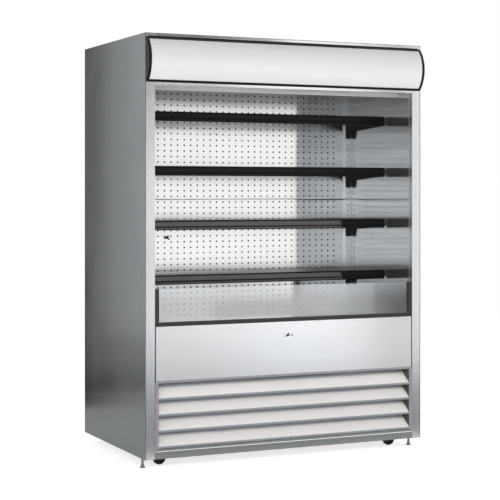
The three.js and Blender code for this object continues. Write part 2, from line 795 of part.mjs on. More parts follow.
// Extruded grip bar: flat back, finger lip along the front, and a notch for the catch.
function pullBarGeometry() {
  const [depth, height] = [pullBarDepth / 2, pullBarHeight / 2];
  const outline = [
    [depth, -height], [depth, height - barRound], [depth - barRound, height],
    [-depth + gripDepth, height], [-depth, height - gripDepth], [-depth, -height + gripHeight],
    [-depth + gripDepth, -height + gripHeight / 2], [-depth + gripDepth, -height],
  ];
  const notchHalf = catchHookWidth / 2 + catchClearance;
  const notch = box([-notchHalf, notchHalf], [notchFront, depth + overrun],
    [-height - overrun, height + overrun]);
  return cut(alongX(outline, [-pullBarHalfLength, pullBarHalfLength]), notch);
}

// Chromed plate with an arm and a down-turned tip.
function catchGeometry() {
  const plateHalf = catchWidth / 2;
  const plateOutline = [];
  for (const [cornerX, cornerZ, start] of [[1, 1, 0], [-1, 1, 1], [-1, -1, 2], [1, -1, 3]]) {
    for (let step = 0; step <= 3; step += 1) {
      const turn = (start + step / 3) * Math.PI / 2;
      plateOutline.push([
        cornerX * (plateHalf - catchRound) + catchRound * Math.cos(turn),
        cornerZ * (catchHeight / 2 - catchRound) + catchRound * Math.sin(turn),
      ]);
    }
  }
  const half = catchHookThickness / 2;
  const tip = -half - catchTipDrop;
  const hook = folded([[-overrun, half], [-catchReach, half], [-catchReach, tip]], catchHookThickness);
  return join(
    alongY(plateOutline, [-catchPlate, 0]),
    alongX(hook, [-catchHookWidth / 2, catchHookWidth / 2]),
  );
}

place('top_rail', topRailGeometry(), finishes.post);
place('blind_roller', rollerGeometry(), finishes.cloth, [0, rollerCentreY, rollerCentreZ]);
place('blind_cloth', box(
  [-blindHalfWidth, blindHalfWidth], [blindHangY - blindThickness / 2, blindHangY + blindThickness / 2],
  [pullBarParkedTop + gap, rollerCentreZ]), finishes.cloth);
place('blind_pull_bar', pullBarGeometry(), finishes.aluminium, [0, blindHangY, pullBarParkedZ]);
place('blind_catch', catchGeometry(), finishes.chrome, [0, -gap, lowerPanelTop - catchDrop]);

// ---------------------------------------------------------------- lower front
// Tray-shaped cover in front of the tub's upstand.
function lowerPanelGeometry() {
  const half = innerHalf - lowerPanelSideGap;
  return cut(
    box([-half, half], [0, lowerPanelFold], [lowerPanelBottom, lowerPanelTop]),
    box([-half + sheet, half - sheet], [sheet, lowerPanelFold + overrun],
      [lowerPanelBottom + sheet, lowerPanelTop - sheet]),
  );
}

const bladePitch = (grilleTop - grilleTopBar - baseTop - bladeHeadroom) / bladeCount;

// Louvre grille: two cheeks and a top bar carry four raked blades, each with a turned-down lip.
function louvreGrilleGeometry() {
  const outer = seatHalf;
  const inner = outer - grilleCheekWidth;
  const blade = folded([
    [bladeSetback, -bladeLip], [bladeSetback, 0], [bladeSetback + bladeDepth, bladeRise],
  ], -sheet);
  const blades = Array.from({ length: bladeCount }, (_, i) =>
    alongX(blade, [-inner - overrun, inner + overrun])
      .translate(0, 0, baseTop + bladeFootRise + bladePitch * i));
  const cheek = rectangle([0, grilleDepth], [baseTop + gap, grilleTop]);
  return join(
    alongX(cheek, [-outer, -inner]),
    alongX(cheek, [inner, outer]),
    box([-outer, outer], [0, grilleTopBarDepth], [grilleTop - grilleTopBar, grilleTop]),
    ...blades,
  );
}

const glassTop = lowerPanelTop + glassRise;
const glassFrameOuter = seatHalf;
const glassFrameInner = glassFrameOuter - glassFrameBar;
const glassMiddle = glassFrameFront + glassFrameDepth / 2;
const glassFrameBottom = lowerPanelTop + gap;
const glassSill = glassFrameBottom + glassFrameBottomBar;

// Black U-shaped frame with a groove for the glass, open at the top.
function glassFrameGeometry() {
  const [outer, inner] = [glassFrameOuter, glassFrameInner];
  const outline = [
    [-outer, glassFrameBottom], [outer, glassFrameBottom], [outer, glassTop], [inner, glassTop],
    [inner, glassSill], [-inner, glassSill], [-inner, glassTop], [-outer, glassTop],
  ];
  const groove = box([-inner - glassSlotDepth, inner + glassSlotDepth],
    [glassMiddle - glassThickness / 2 - gap, glassMiddle + glassThickness / 2 + gap],
    [glassSill - glassSlotDepth, glassTop + overrun]);
  return cut(alongY(outline, [glassFrameFront, glassFrameFront + glassFrameDepth]), groove);
}

// Glass pane with a rounded top edge, let into the frame's groove.
function glassGeometry() {
  const half = glassThickness / 2;
  const bottom = glassSill - glassSlotDepth + gap;
  const edge = glassFrameInner + glassSlotDepth - gap;
  const outline = [
    [-half, bottom], [half, bottom], [half, glassTop - glassEdgeRound],
    [half - glassEdgeRound, glassTop], [-half + glassEdgeRound, glassTop],
    [-half, glassTop - glassEdgeRound],
  ];
  return alongX(outline, [-edge, edge]).translate(0, glassMiddle, 0);
}

place('lower_front_panel', lowerPanelGeometry(), finishes.frontPanel);
place('louvre_grille', louvreGrilleGeometry(), finishes.louvre);
place('glass_frame', glassFrameGeometry(), finishes.blackTrim);
place('front_glass', glassGeometry(), finishes.glass);

// ---------------------------------------------------------------- shelves
const shelfHalfWidth = innerHalf - shelfSideGap;
const shelfBack = displayDepth - shelfBackGap;
const shelfSlots = Math.floor((shelfTopHeight - deckTop) / (shelfCount * slotPitch));
const uprightBottom = deckTop + uprightFootGap;
const uprightTop = ceilingHeight - uprightTopGap;
const uprightOuter = innerHalf - uprightSideGap;
const uprightMiddle = uprightOuter - uprightWidth / 2;
const uprightFace = displayDepth - gap - uprightDepth;
const bracketTop = shelfTopHeight - shelfSheet - gap;
const firstSlotCentre = bracketTop - hookTopDrop + slotPitch * slotsAboveTopShelf;
const slotCount = Math.floor((firstSlotCentre - uprightBottom - uprightBlankFoot) / slotPitch) + 1;

// Channel whose face has a ladder of slots, one slot pitch apart.
function uprightGeometry(side) {
  const [outer, inner] = [uprightOuter, uprightOuter - uprightWidth];
  const back = displayDepth - gap;
  const web = box([inner, outer], [uprightFace, uprightFace + sheet], [uprightBottom, uprightTop]);
  const slots = Array.from({ length: slotCount }, (_, i) => {
    const centre = firstSlotCentre - slotPitch * i;
    return box([uprightMiddle - slotWidth / 2, uprightMiddle + slotWidth / 2],
      [uprightFace - overrun, uprightFace + sheet + overrun],
      [centre - slotHeight / 2, centre + slotHeight / 2]);
  });
  const flanges = [[inner, inner + sheet], [outer - sheet, outer]].map((span) =>
    box(span, [uprightFace, back], [uprightBottom, uprightTop]));
  const channel = cut(join(web, ...flanges), ...slots);
  return side > 0 ? channel : geometryOf(solidOf(channel).mirror([1, 0, 0]));
}

// Shelf about its top surface: sheet folded down at the front and sides, with a hat rib below.
function shelfGeometry() {
  const half = shelfHalfWidth;
  const tray = cut(
    box([-half, half], [shelfFront, shelfBack], [-shelfFold, 0]),
    box([-half + shelfSheet, half - shelfSheet], [shelfFront + shelfSheet, shelfBack + overrun],
      [-shelfFold - overrun, -shelfSheet]),
  );
  const ribMiddle = (shelfFront + shelfBack) / 2;
  const ribEnd = uprightMiddle - uprightWidth / 2;
  const rib = folded([
    [ribMiddle - shelfRibDepth / 2, -shelfSheet / 2], [ribMiddle - shelfRibDepth / 2, -shelfRibHeight],
    [ribMiddle + shelfRibDepth / 2, -shelfRibHeight], [ribMiddle + shelfRibDepth / 2, -shelfSheet / 2],
  ], shelfSheet);
  return join(tray, alongX(rib, [-ribEnd, ribEnd]));
}

// Ticket rail profile from its top edge: rolled nose, recessed face, ridge and bottom lip.
function priceRailGeometry() {
  const back = priceRailDepth;
  const ridgeBottom = railRidgeDrop + railRidgeHeight;
  const lipTop = priceRailHeight - railLipHeight;
  const outline = [
    [back, 0], [railRound, 0], [0, -railRound], [0, railRound - railNoseHeight],
    [railRound, -railNoseHeight], [railFaceInset, -railNoseHeight - railRound],
    [railFaceInset, -railRidgeDrop], [railRound, -railRidgeDrop - railRound],
    [0, -railRidgeDrop - 2 * railRound], [0, railRound - ridgeBottom],
    [railGrooveInset, -ridgeBottom], [railGrooveInset, -lipTop], [railRound, -lipTop],
    [0, -lipTop - railRound], [0, railRound - priceRailHeight], [railRound, -priceRailHeight],
    [back, -priceRailHeight],
  ];
  return alongX(outline, [-shelfHalfWidth, shelfHalfWidth]);
}

// Tapered bracket from its top edge, with two hooks that pass through the upright's slots and
// drop behind its face.
function bracketGeometry() {
  const rear = uprightFace - gap;
  const front = shelfFront + shelfSheet + bracketNoseReach;
  const body = [
    [front, 0], [rear, 0], [rear, -bracketRearDrop], [rear - bracketRearDepth, -bracketRearDrop],
    [rear - bracketRearDepth - bracketNeckSlope, -bracketNeckDrop],
    [front + bracketNoseLength, -bracketFrontDrop], [front, bracketNoseRise - bracketFrontDrop],
  ];
  const behind = uprightFace + sheet + gap;
  const half = hookHeight / 2;
  const end = behind + hookTongue;
  const hooks = Array.from({ length: hookCount }, (_, i) => {
    const centre = -hookTopDrop - slotPitch * slotsPerHook * i;
    return alongX([
      [rear - overrun, centre - half], [behind, centre - half], [behind, centre - half - hookLip],
      [end, centre - half - hookLip], [end, centre + half - hookRound],
      [end - hookRound, centre + half], [rear - overrun, centre + half],
    ], [-bracketThickness / 2, bracketThickness / 2]);
  });
  return join(alongX(body, [-bracketThickness / 2, bracketThickness / 2]), ...hooks);
}

for (const [name, side] of sides) {
  place(`shelf_upright_${name}`, uprightGeometry(side), finishes.liner);
}

for (let level = 0; level < shelfCount; level += 1) {
  const top = shelfTopHeight - level * shelfSlots * slotPitch;
  const number = level + 1;
  place(`shelf_${number}`, shelfGeometry(), finishes.liner, [0, 0, top]);
  place(`price_rail_${number}`, priceRailGeometry(), finishes.priceRail,
    [0, shelfFront - gap - priceRailDepth, top + priceRailRise]);
  for (const [name, side] of sides) {
    place(`shelf_bracket_${number}_${name}`, bracketGeometry(), finishes.bracket,
      [side * uprightMiddle, 0, top - shelfSheet - gap]);
  }
}

// ---------------------------------------------------------------- header
// The header's section is a circle segment standing on the fascia.
const headerHalf = cabinetWidth / 2 - headerSideInset;
const headerInner = headerHalf - endCapThickness;
const lampHolderInside = headerInner - lampHolderInset - lampHolderLength;
const headerMiddle = (headerTop + headerBottom) / 2;
const headerChordHalf = (headerTop - headerBottom) / 2;
const headerRadius = (headerChordHalf ** 2 + headerBulge ** 2) / (2 * headerBulge);
const headerCentreY = headerRadius - headerBulge;

function headerArc(radius, fromHeight, toHeight, steps) {
  const start = Math.asin((fromHeight - headerMiddle) / radius);
  const end = Math.asin((toHeight - headerMiddle) / radius);
  return Array.from({ length: steps + 1 }, (_, i) => {
    const angle = start + ((end - start) * i) / steps;
    return [headerCentreY - radius * Math.cos(angle), headerMiddle + radius * Math.sin(angle)];
  });
}

// Back plate with a hooked black trim along the top and bottom edge and the lamp's two holders.
function headerHousingGeometry() {
  const trim = (from, to) => [
    ...headerArc(headerRadius, from, to, 3),
    ...headerArc(headerRadius - headerTrimDepth, from, to, 3).reverse(),
  ];
  const plateBack = -gap;
  const shift = (outline) => outline.map(([y, z]) => [Math.min(y, plateBack), z]);
  const bottomTrim = shift(trim(headerBottom, headerBottom + headerTrim));
  const topTrim = shift(trim(headerTop - headerTrim, headerTop));
  const holder = (side) => {
    const outer = lampHolderInside + lampHolderLength;
    const span = side > 0 ? [lampHolderInside, outer] : [-outer, -lampHolderInside];
    return box(span, [lampCentreY - lampHolderSize / 2, plateBack - sheet / 2],
      [headerMiddle - lampHolderSize / 2, headerMiddle + lampHolderSize / 2]);
  };
  return join(
    box([-headerInner, headerInner], [plateBack - sheet, plateBack], [headerBottom, headerTop]),
    alongX(bottomTrim, [-headerInner, headerInner]),
    alongX(topTrim, [-headerInner, headerInner]),
    holder(-1),
    holder(1),
  );
}

// Curved translucent panel between the two trims.
function headerLightPanelGeometry() {
  const [from, to] = [headerBottom + headerTrim + gap, headerTop - headerTrim - gap];
  const outside = headerRadius - headerPanelRecess;
  const outline = [
    ...headerArc(outside, from, to, 24),
    ...headerArc(outside - headerPanelThickness, from, to, 24).reverse(),
  ];
  return alongX(outline, [-headerInner, headerInner]);
}

// Moulded end cap: a segment-shaped lid with a rim round an open pocket.
function endCapGeometry(side) {
  const rim = headerArc(headerRadius, headerBottom, headerTop, 24).map(([y, z]) => [Math.min(y, -gap), z]);
  const pocketFrom = headerBottom + headerTrim;
  const pocketTo = headerTop - headerTrim;
  const pocket = headerArc(headerRadius - endCapRim, pocketFrom, pocketTo, 20)
    .map(([y, z]) => [Math.min(y, -gap - endCapWall), z]);
  const span = side > 0 ? [headerInner + gap, headerHalf] : [-headerHalf, -headerInner - gap];
  const pocketSpan = side > 0
    ? [headerInner - overrun, headerHalf - endCapWall]
    : [-headerHalf + endCapWall, -headerInner + overrun];
  return cut(alongX(rim, span), alongX(pocket, pocketSpan));
}

// Tube lamp with a metal collar at each end.
function lampGeometry() {
  const end = lampHolderInside - gap;
  const collar = end - lampCollarLength;
  const tube = lampRadius - lampCollarStep;
  const face = lampRadius - lampCollarRound;
  return revolve([
    [0, -end], [face, -end], [lampRadius, -end + lampCollarRound], [lampRadius, -collar],
    [tube, -collar], [tube, collar], [lampRadius, collar], [lampRadius, end - lampCollarRound],
    [face, end], [0, end],
  ], 24, 'x').translate(0, lampCentreY, headerMiddle);
}

place('header_housing', headerHousingGeometry(), finishes.blackTrim);
place('header_light_panel', headerLightPanelGeometry(), finishes.acrylic);
place('header_lamp', lampGeometry(), finishes.lamp);
for (const [name, side] of sides) {
  place(`header_end_cap_${name}`, endCapGeometry(side), finishes.blackTrim);
}

// ---------------------------------------------------------------- refrigeration
// Fan about its own centre, axis along y: a hub with a bore and raked blades.
function fanGeometry(radius, hubRadius, depth, bladeTotal) {
  const bore = shaftRadius + shaftClearance;
  const hub = revolve([
    [bore, -depth / 2], [hubRadius, -depth / 2], [hubRadius, depth / 2 - fanHubRound],
    [hubRadius - fanHubRound, depth / 2], [bore, depth / 2], [bore, -depth / 2],
  ], 24, 'x');
  const chord = radius * 0.55;
  const root = hubRadius - fanBladeThickness;
  const tip = radius * 0.97;
  const blades = Array.from({ length: bladeTotal }, (_, i) => {
    const blade = extrude([
      [root, -chord * 0.3], [radius * 0.8, -chord * 0.55], [tip, -chord * 0.35],
      [tip, chord * 0.35], [radius * 0.75, chord * 0.4], [root, chord * 0.3],
    ], fanBladeThickness);
    return blade.translate(0, 0, -fanBladeThickness / 2).rotateX(fanBladeTilt)
      .rotateY(Math.PI / 2).rotateX((i / bladeTotal) * 2 * Math.PI);
  });
  const limits = rod(radius, [-depth / 2, depth / 2], 48, 'x');
  const solid = [hub, ...blades].map(solidOf).reduce((whole, piece) => whole.add(piece));
  const turned = geometryOf(solid.intersect(solidOf(limits)));
  return turned.rotateZ(Math.PI / 2);
}

const condenserLeft = condenserSideGap - innerHalf;
const condenserHeight = tubBottom - condenserHeadroom - condenserBottom;
const condenserFanRadius = condenserHeight / 2 - condenserFanMargin;
const condenserMiddleX = condenserLeft + condenserWidth / 2;
const condenserMiddleZ = condenserBottom + condenserHeight / 2;
const condenserBack = condenserFront + condenserDepth;
const shroudBack = condenserBack + shroudDepth;
const condenserFanY = condenserBack + shroudDepth / 2;

function finned([x0, x1], [y0, y1], [z0, z1], fins) {
  const pitch = (x1 - x0) / fins;
  const grooves = Array.from({ length: fins - 1 }, (_, i) => {
    const middle = x0 + pitch * (i + 1);
    return box([middle - pitch / 4, middle + pitch / 4], [y0 - overrun, y0 + finSlotDepth],
      [z0 + finMargin, z1 - finMargin]);
  });
  return cut(box([x0, x1], [y0, y1], [z0, z1]), ...grooves);
}

// Finned coil on two feet, with a shroud round the fan and a strap that holds the motor.
function condenserGeometry() {
  const xSpan = [condenserLeft, condenserLeft + condenserWidth];
  const zSpan = [condenserBottom, condenserBottom + condenserHeight];
  const opening = circle(condenserFanRadius + fanClearance, 32, condenserMiddleX, condenserMiddleZ);
  const toDepth = (geometry) =>
    geometry.rotateZ(Math.PI / 2).translate(condenserMiddleX, 0, condenserMiddleZ);
  const shaftFront = condenserFanY - condenserFanDepth / 2 + shaftEndInset;
  const motor = toDepth(rod(motorRadius, [shroudBack, shroudBack + motorLength], 24, 'x'));
  const shaft = toDepth(rod(shaftRadius, [shaftFront, shroudBack + overrun], 12, 'x'));
  const strap = box([condenserMiddleX - motorStrapHalf, condenserMiddleX + motorStrapHalf],
    [shroudBack - overrun, shroudBack + motorStrapThickness],
    [zSpan[0] + motorStrapThickness, zSpan[1] - motorStrapThickness]);
  const footSpans = [[xSpan[0], xSpan[0] + coilFootWidth], [xSpan[1] - coilFootWidth, xSpan[1]]];
  const feet = footSpans.map((span) =>
    box(span, [condenserFront, shroudBack], [baseTop + gap, condenserBottom + overrun]));
  return join(
    finned(xSpan, [condenserFront, condenserBack], zSpan, condenserFins),
    alongY(rectangle(xSpan, zSpan), [condenserBack - overrun, shroudBack], [opening]),
    motor, shaft, strap, ...feet,
  );
}

// Finned coil standing on the tub's floor in the back duct.
function evaporatorGeometry() {
  const bottom = tubTop + gap;
  const front = displayDepth + evaporatorDuctGap;
  const halfWidth = innerHalf - evaporatorSideGap;
  return finned([-halfWidth, halfWidth], [front, front + evaporatorDepth],
    [bottom, bottom + evaporatorHeight], evaporatorFins);
}

// Hermetic shell on a foot plate with four rubber bushes.
function compressorGeometry() {
  const radius = compressorRadius;
  const shell = revolve([
    [0, 0], [radius * 0.7, 0], [radius * 0.95, compressorHeight * 0.1], [radius, compressorHeight * 0.2],
    [radius, compressorHeight * 0.5], [radius * 1.04, compressorHeight * 0.5],
    [radius * 1.04, compressorHeight * 0.54], [radius * 0.98, compressorHeight * 0.54],
    [radius * 0.96, compressorHeight * 0.78], [radius * 0.75, compressorHeight * 0.94],
    [0, compressorHeight],
  ], 20);
  const [reach, halfDepth] = [compressorPlateReach, compressorPlateHalfDepth];
  const plate = box([-reach, reach], [-halfDepth, halfDepth], [-overrun, compressorPlate]);
  const bushes = [[1, 1], [1, -1], [-1, 1], [-1, -1]].map(([sideX, sideY]) =>
    rod(bushRadius, [-compressorFootHeight, compressorPlate + overrun], 8)
      .translate(sideX * (reach - bushInset), sideY * (halfDepth - bushInset), 0));
  const terminalBox = box([radius / 2, terminalBoxReach], [-terminalBoxHalf, terminalBoxHalf],
    [terminalBoxBottom, terminalBoxBottom + terminalBoxHeight]);
  return join(shell, plate, terminalBox, ...bushes);
}

place('condenser_coil', condenserGeometry(), finishes.coil);
place('condenser_fan', fanGeometry(condenserFanRadius, fanHubRadius, condenserFanDepth, 5),
  finishes.fanPlastic, [condenserMiddleX, condenserFanY, condenserMiddleZ]);
place('compressor', compressorGeometry(), finishes.blackPaint,
  [innerHalf - compressorSideInset, cabinetDepth - compressorBackInset,
    baseTop + gap + compressorFootHeight]);
place('evaporator_coil', evaporatorGeometry(), finishes.coil);
place('evaporator_fan', fanGeometry(evaporatorFanRadius, smallHubRadius, evaporatorFanDepth, 5),
  finishes.fanPlastic, [0, evaporatorFanY, evaporatorFanZ]);

// ---------------------------------------------------------------- temperature probe
// Slanted bulb held off the duct panel by a forked clip.
function probeGeometry() {
  const bulb = rod(probeRadius, [-probeLength / 2, probeLength / 2], 12, 'x').rotateY(-probeTilt)
    .translate(0, -probeStandOff, 0);
  const clip = box([-probeClipHalf, probeClipHalf], [-probeStandOff, 0], [-probeRadius, probeRadius]);
  const tail = box([-probeTailHalf, probeTailHalf],
    [-probeStandOff - probeTailHalf, probeTailHalf - probeStandOff], [-probeTailLength, 0])
    .rotateY(probeTailTilt);
  return join(bulb, clip, tail);
}

place('temperature_probe', probeGeometry(), finishes.blackTrim,
  [probeSideInset - innerHalf, displayDepth - gap, deckTop + probeRise]);

export default fridge;
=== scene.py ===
import json
import math
import bpy
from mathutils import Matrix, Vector


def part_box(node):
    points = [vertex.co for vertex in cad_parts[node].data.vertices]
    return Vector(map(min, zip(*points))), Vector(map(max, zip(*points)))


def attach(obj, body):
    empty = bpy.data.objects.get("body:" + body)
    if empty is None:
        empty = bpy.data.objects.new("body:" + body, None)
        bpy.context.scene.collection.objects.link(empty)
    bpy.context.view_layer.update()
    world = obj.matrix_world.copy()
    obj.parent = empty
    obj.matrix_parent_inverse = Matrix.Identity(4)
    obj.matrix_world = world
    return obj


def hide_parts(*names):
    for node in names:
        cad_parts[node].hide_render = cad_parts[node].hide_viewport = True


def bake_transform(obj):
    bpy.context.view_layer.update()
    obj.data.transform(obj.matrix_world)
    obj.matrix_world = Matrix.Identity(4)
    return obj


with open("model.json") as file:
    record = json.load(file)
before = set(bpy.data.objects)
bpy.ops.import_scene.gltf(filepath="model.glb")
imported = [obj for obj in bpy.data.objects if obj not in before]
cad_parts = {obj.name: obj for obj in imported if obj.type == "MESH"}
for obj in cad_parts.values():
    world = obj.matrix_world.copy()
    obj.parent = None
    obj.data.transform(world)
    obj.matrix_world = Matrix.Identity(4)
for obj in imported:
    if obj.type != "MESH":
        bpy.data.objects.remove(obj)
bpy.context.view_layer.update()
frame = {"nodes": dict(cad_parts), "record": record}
nodes = frame["nodes"]
bodies = frame["record"]["behaviour"]["bodies"]
bodyOf = {node: body for body, members in bodies.items() for node in members}
slotOf = {entry["node"]: entry["material_slot"] for entry in frame["record"]["subparts"]}
mm = 0.001  # pieces are measured in mm, places and heights in the studio in metres
touching = 0.05 * mm  # a vertex this near to an edge lies on it
nearlySquare, mainly, halfway = 0.9, 0.7, 0.5  # how far a face's normal leans towards an axis
print("frame loaded:", len(nodes), "nodes")


# selecting and finishing, as by hand
def deselectAll():
    bpy.ops.object.select_all(action="DESELECT")


def selectOnly(piece):
    deselectAll()
    piece.select_set(True)
    bpy.context.view_layer.objects.active = piece


def editMode():
    bpy.ops.object.mode_set(mode="EDIT")


def objectMode():
    bpy.ops.object.mode_set(mode="OBJECT")


def selectMesh():
    bpy.ops.mesh.select_all(action="SELECT")


# the steps act on the whole mesh
def onWholeMesh(piece, *steps):
    selectOnly(piece)
    editMode()
    selectMesh()
    for step in steps:
        step()
    objectMode()


# faces are picked by centre and normal, edges by the place of both ends; edit mode stays on
def pick(piece, mode, test):
    selectOnly(piece)
    editMode()
    bpy.ops.mesh.select_mode(type=mode)
    bpy.ops.mesh.select_all(action="DESELECT")
    objectMode()
    mesh = piece.data
    if mode == "FACE":
        for face in mesh.polygons:
            face.select = test(face.center, face.normal)
    else:
        for edge in mesh.edges:
            edge.select = all(test(mesh.vertices[end].co) for end in edge.vertices)
    editMode()


def slide(step):
    bpy.ops.transform.translate(value=step)


def extrude(step):
    bpy.ops.mesh.extrude_region_move(TRANSFORM_OT_translate={"value": step})


def cut(piece, point, normal, **cleared):
    onWholeMesh(piece, lambda: bpy.ops.mesh.bisect(plane_co=point, plane_no=normal, **cleared))


def newPiece(name):
    piece = bpy.context.object
    piece.name = name
    piece.data.name = name
    bpy.ops.object.transform_apply(location=True, rotation=True, scale=True)
    return piece


def copyMesh(piece, name, place=(0, 0, 0)):
    twin = bpy.data.objects.new(name, piece.data.copy())
    bpy.context.scene.collection.objects.link(twin)
    twin.location = place
    selectOnly(twin)
    bpy.ops.object.transform_apply(location=True, rotation=False, scale=False)
    return twin


def addModifier(piece, kind, **settings):
    modifier = piece.modifiers.new(kind.title(), kind)
    for key, value in settings.items():
        setattr(modifier, key, value)
    selectOnly(piece)
    bpy.ops.object.modifier_apply(modifier=modifier.name)


def repeat(piece, count, step, merge):
    addModifier(piece, "ARRAY", count=count, use_relative_offset=False, use_constant_offset=True,
                constant_offset_displace=step, use_merge_vertices=True, merge_threshold=merge * mm)


def roundEdges(piece, width, steps=2, angle=30):
    addModifier(piece, "BEVEL", width=width * mm, segments=steps, limit_method="ANGLE",
                angle_limit=math.radians(angle), use_clamp_overlap=True)


def smoothed(piece, angle=40, weight=80):
    selectOnly(piece)
    bpy.ops.object.shade_smooth_by_angle(angle=math.radians(angle))
    addModifier(piece, "WEIGHTED_NORMAL", keep_sharp=True, weight=weight)


def wear(piece, material, body):
    piece.data.materials.clear()
    piece.data.materials.append(material)
    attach(piece, body)


def paintFaces(piece, material, test):
    piece.data.materials.append(material)
    index = len(piece.data.materials) - 1
    for face in piece.data.polygons:
        if test(face.center, face.normal):
            face.material_index = index


# materials: small helpers that add and join nodes
def startMaterial(name, colour, roughness, metallic=0.0):
    material = bpy.data.materials.new(name)
    material.use_nodes = True
    shader = material.node_tree.nodes["Principled BSDF"]
    shader.inputs["Base Color"].default_value = (*colour, 1)
    shader.inputs["Roughness"].default_value = roughness
    shader.inputs["Metallic"].default_value = metallic
    return material, material.node_tree, shader


def addNode(tree, kind, settings=None, **inputs):
    node = tree.nodes.new(kind)
    for key, value in (settings or {}).items():
        setattr(node, key, value)
    for key, value in inputs.items():
        socket = node.inputs[key.replace("_", " ")]
        if isinstance(value, bpy.types.NodeSocket):
            tree.links.new(value, socket)
        else:
            socket.default_value = value
    return node


def placed(tree, stretch=(1, 1, 1)):
    coordinates = addNode(tree, "ShaderNodeTexCoord")
    mapping = addNode(tree, "ShaderNodeMapping", Vector=coordinates.outputs["Object"],
                      Scale=stretch)
    return mapping.outputs["Vector"]


def placeAlong(tree, axis):
    return addNode(tree, "ShaderNodeSeparateXYZ", Vector=placed(tree)).outputs[axis]


def noise(tree, stretch, detail, rough=0.5):
    return addNode(tree, "ShaderNodeTexNoise", Vector=placed(tree, stretch), Scale=1.0,
                   Detail=detail, Roughness=rough).outputs["Fac"]


def waves(tree, axis, profile, scale, distortion=0.0):
    return addNode(tree, "ShaderNodeTexWave", {"bands_direction": axis, "wave_profile": profile},
                   Vector=placed(tree), Scale=scale, Distortion=distortion).outputs["Fac"]


# noise seldom leaves 0.3 to 0.7, so that range is spread out by default
def spread(tree, value, low, high, fromLow=0.3, fromHigh=0.7):
    return addNode(tree, "ShaderNodeMapRange", Value=value, From_Min=fromLow, From_Max=fromHigh,
                   To_Min=low, To_Max=high).outputs["Result"]


def calculated(tree, operation, first, second):
    node = addNode(tree, "ShaderNodeMath", {"operation": operation})
    tree.links.new(first, node.inputs[0])
    tree.links.new(second, node.inputs[1])
    return node.outputs["Value"]


def tinted(tree, factor, dark, light):
    mix = addNode(tree, "ShaderNodeMix", {"data_type": "RGBA"})
    tree.links.new(factor, mix.inputs["Factor"])
    mix.inputs["A"].default_value = (*dark, 1)
    mix.inputs["B"].default_value = (*light, 1)
    return mix.outputs["Result"]


def multiplied(tree, first, second):
    mix = addNode(tree, "ShaderNodeMix", {"data_type": "RGBA", "blend_type": "MULTIPLY"})
    mix.inputs["Factor"].default_value = 1.0
    tree.links.new(first, mix.inputs["A"])
    tree.links.new(second, mix.inputs["B"])
    return mix.outputs["Result"]


def mixedShader(tree, factor, first, second):
    mix = addNode(tree, "ShaderNodeMixShader", Fac=factor)
    tree.links.new(first, mix.inputs[1])
    tree.links.new(second, mix.inputs[2])
    return mix.outputs["Shader"]


def scaled(colour, factor):
    return tuple(min(channel * factor, 1.0) for channel in colour)


def bump(tree, shader, height, distance, strength=1.0):
    node = addNode(tree, "ShaderNodeBump", Height=height, Distance=distance, Strength=strength)
    tree.links.new(node.outputs["Normal"], shader.inputs["Normal"])


# grain runs along one axis: fine scratches in the bump, broad streaks and smudges in the gloss
grainAxes = {"x": (1, 0, 0), "y": (0, 1, 0), "z": (0, 0, 1)}


def grainStretch(axis, along, across):
    return tuple(along if part else across for part in grainAxes[axis])


def brushedSteel(name, colour, roughness, axis, grain=0.5, streaks=0.05, smudge=0.03, smear=0.7,
                 pitch=75, metallic=1.0, spin=None):
    material, tree, shader = startMaterial(name, colour, roughness, metallic)
    fine = noise(tree, grainStretch(axis, 9, 1400), detail=2.0)
    broad = noise(tree, grainStretch(axis, 0.8, pitch), detail=4.0)
    cloud = noise(tree, (3.1, 3.1, 3.1), detail=2.0, rough=0.4)
    tone = tinted(tree, spread(tree, broad, 0, 1), scaled(colour, 1 - streaks),
                  scaled(colour, 1 + streaks))
    handled = tinted(tree, cloud, (0.985, 0.985, 0.988), (1, 1, 1))
    tree.links.new(multiplied(tree, tone, handled), shader.inputs["Base Color"])
    gloss = calculated(tree, "ADD", spread(tree, cloud, roughness - smudge, roughness + smudge),
                       spread(tree, fine, -0.03, 0.03))
    tree.links.new(gloss, shader.inputs["Roughness"])
    bump(tree, shader, fine, 0.00002 * grain)
    around = addNode(tree, "ShaderNodeTangent", {"direction_type": "RADIAL", "axis": "Z"})
    tree.links.new(around.outputs["Tangent"], shader.inputs["Tangent"])
    shader.inputs["Anisotropic"].default_value = smear
    turn = 0.0 if axis == "z" else 0.25  # in whole turns
    shader.inputs["Anisotropic Rotation"].default_value = turn if spin is None else spin
    return material


def paintedMetal(name, colour, roughness, peel=1.0, dust=0.06, metallic=0.0, sheen=0.5):
    material, tree, shader = startMaterial(name, colour, roughness, metallic)
    shader.inputs["Specular IOR Level"].default_value = sheen
    orangePeel = noise(tree, (420, 420, 420), detail=2.0)
    cloud = noise(tree, (5, 5, 9), detail=6.0, rough=0.65)
    tree.links.new(tinted(tree, cloud, scaled(colour, 1 - dust), scaled(colour, 1 + dust * 0.5)),
                   shader.inputs["Base Color"])
    tree.links.new(spread(tree, cloud, roughness + 0.07, roughness - 0.05),
                   shader.inputs["Roughness"])
    bump(tree, shader, orangePeel, 0.00006 * peel)
    return material


def mouldedPlastic(name, colour, roughness, texture=1.0, scuff=0.08, sheen=0.5):
    material, tree, shader = startMaterial(name, colour, roughness)
    shader.inputs["Specular IOR Level"].default_value = sheen
    pebble = noise(tree, (900, 900, 900), detail=3.0)
    cloud = noise(tree, (11, 11, 17), detail=6.0, rough=0.7)
    tree.links.new(tinted(tree, cloud, scaled(colour, 1 - scuff), scaled(colour, 1 + scuff)),
                   shader.inputs["Base Color"])
    tree.links.new(spread(tree, cloud, roughness - 0.05, roughness + 0.08),
                   shader.inputs["Roughness"])
    bump(tree, shader, pebble, 0.00004 * texture)
    return material


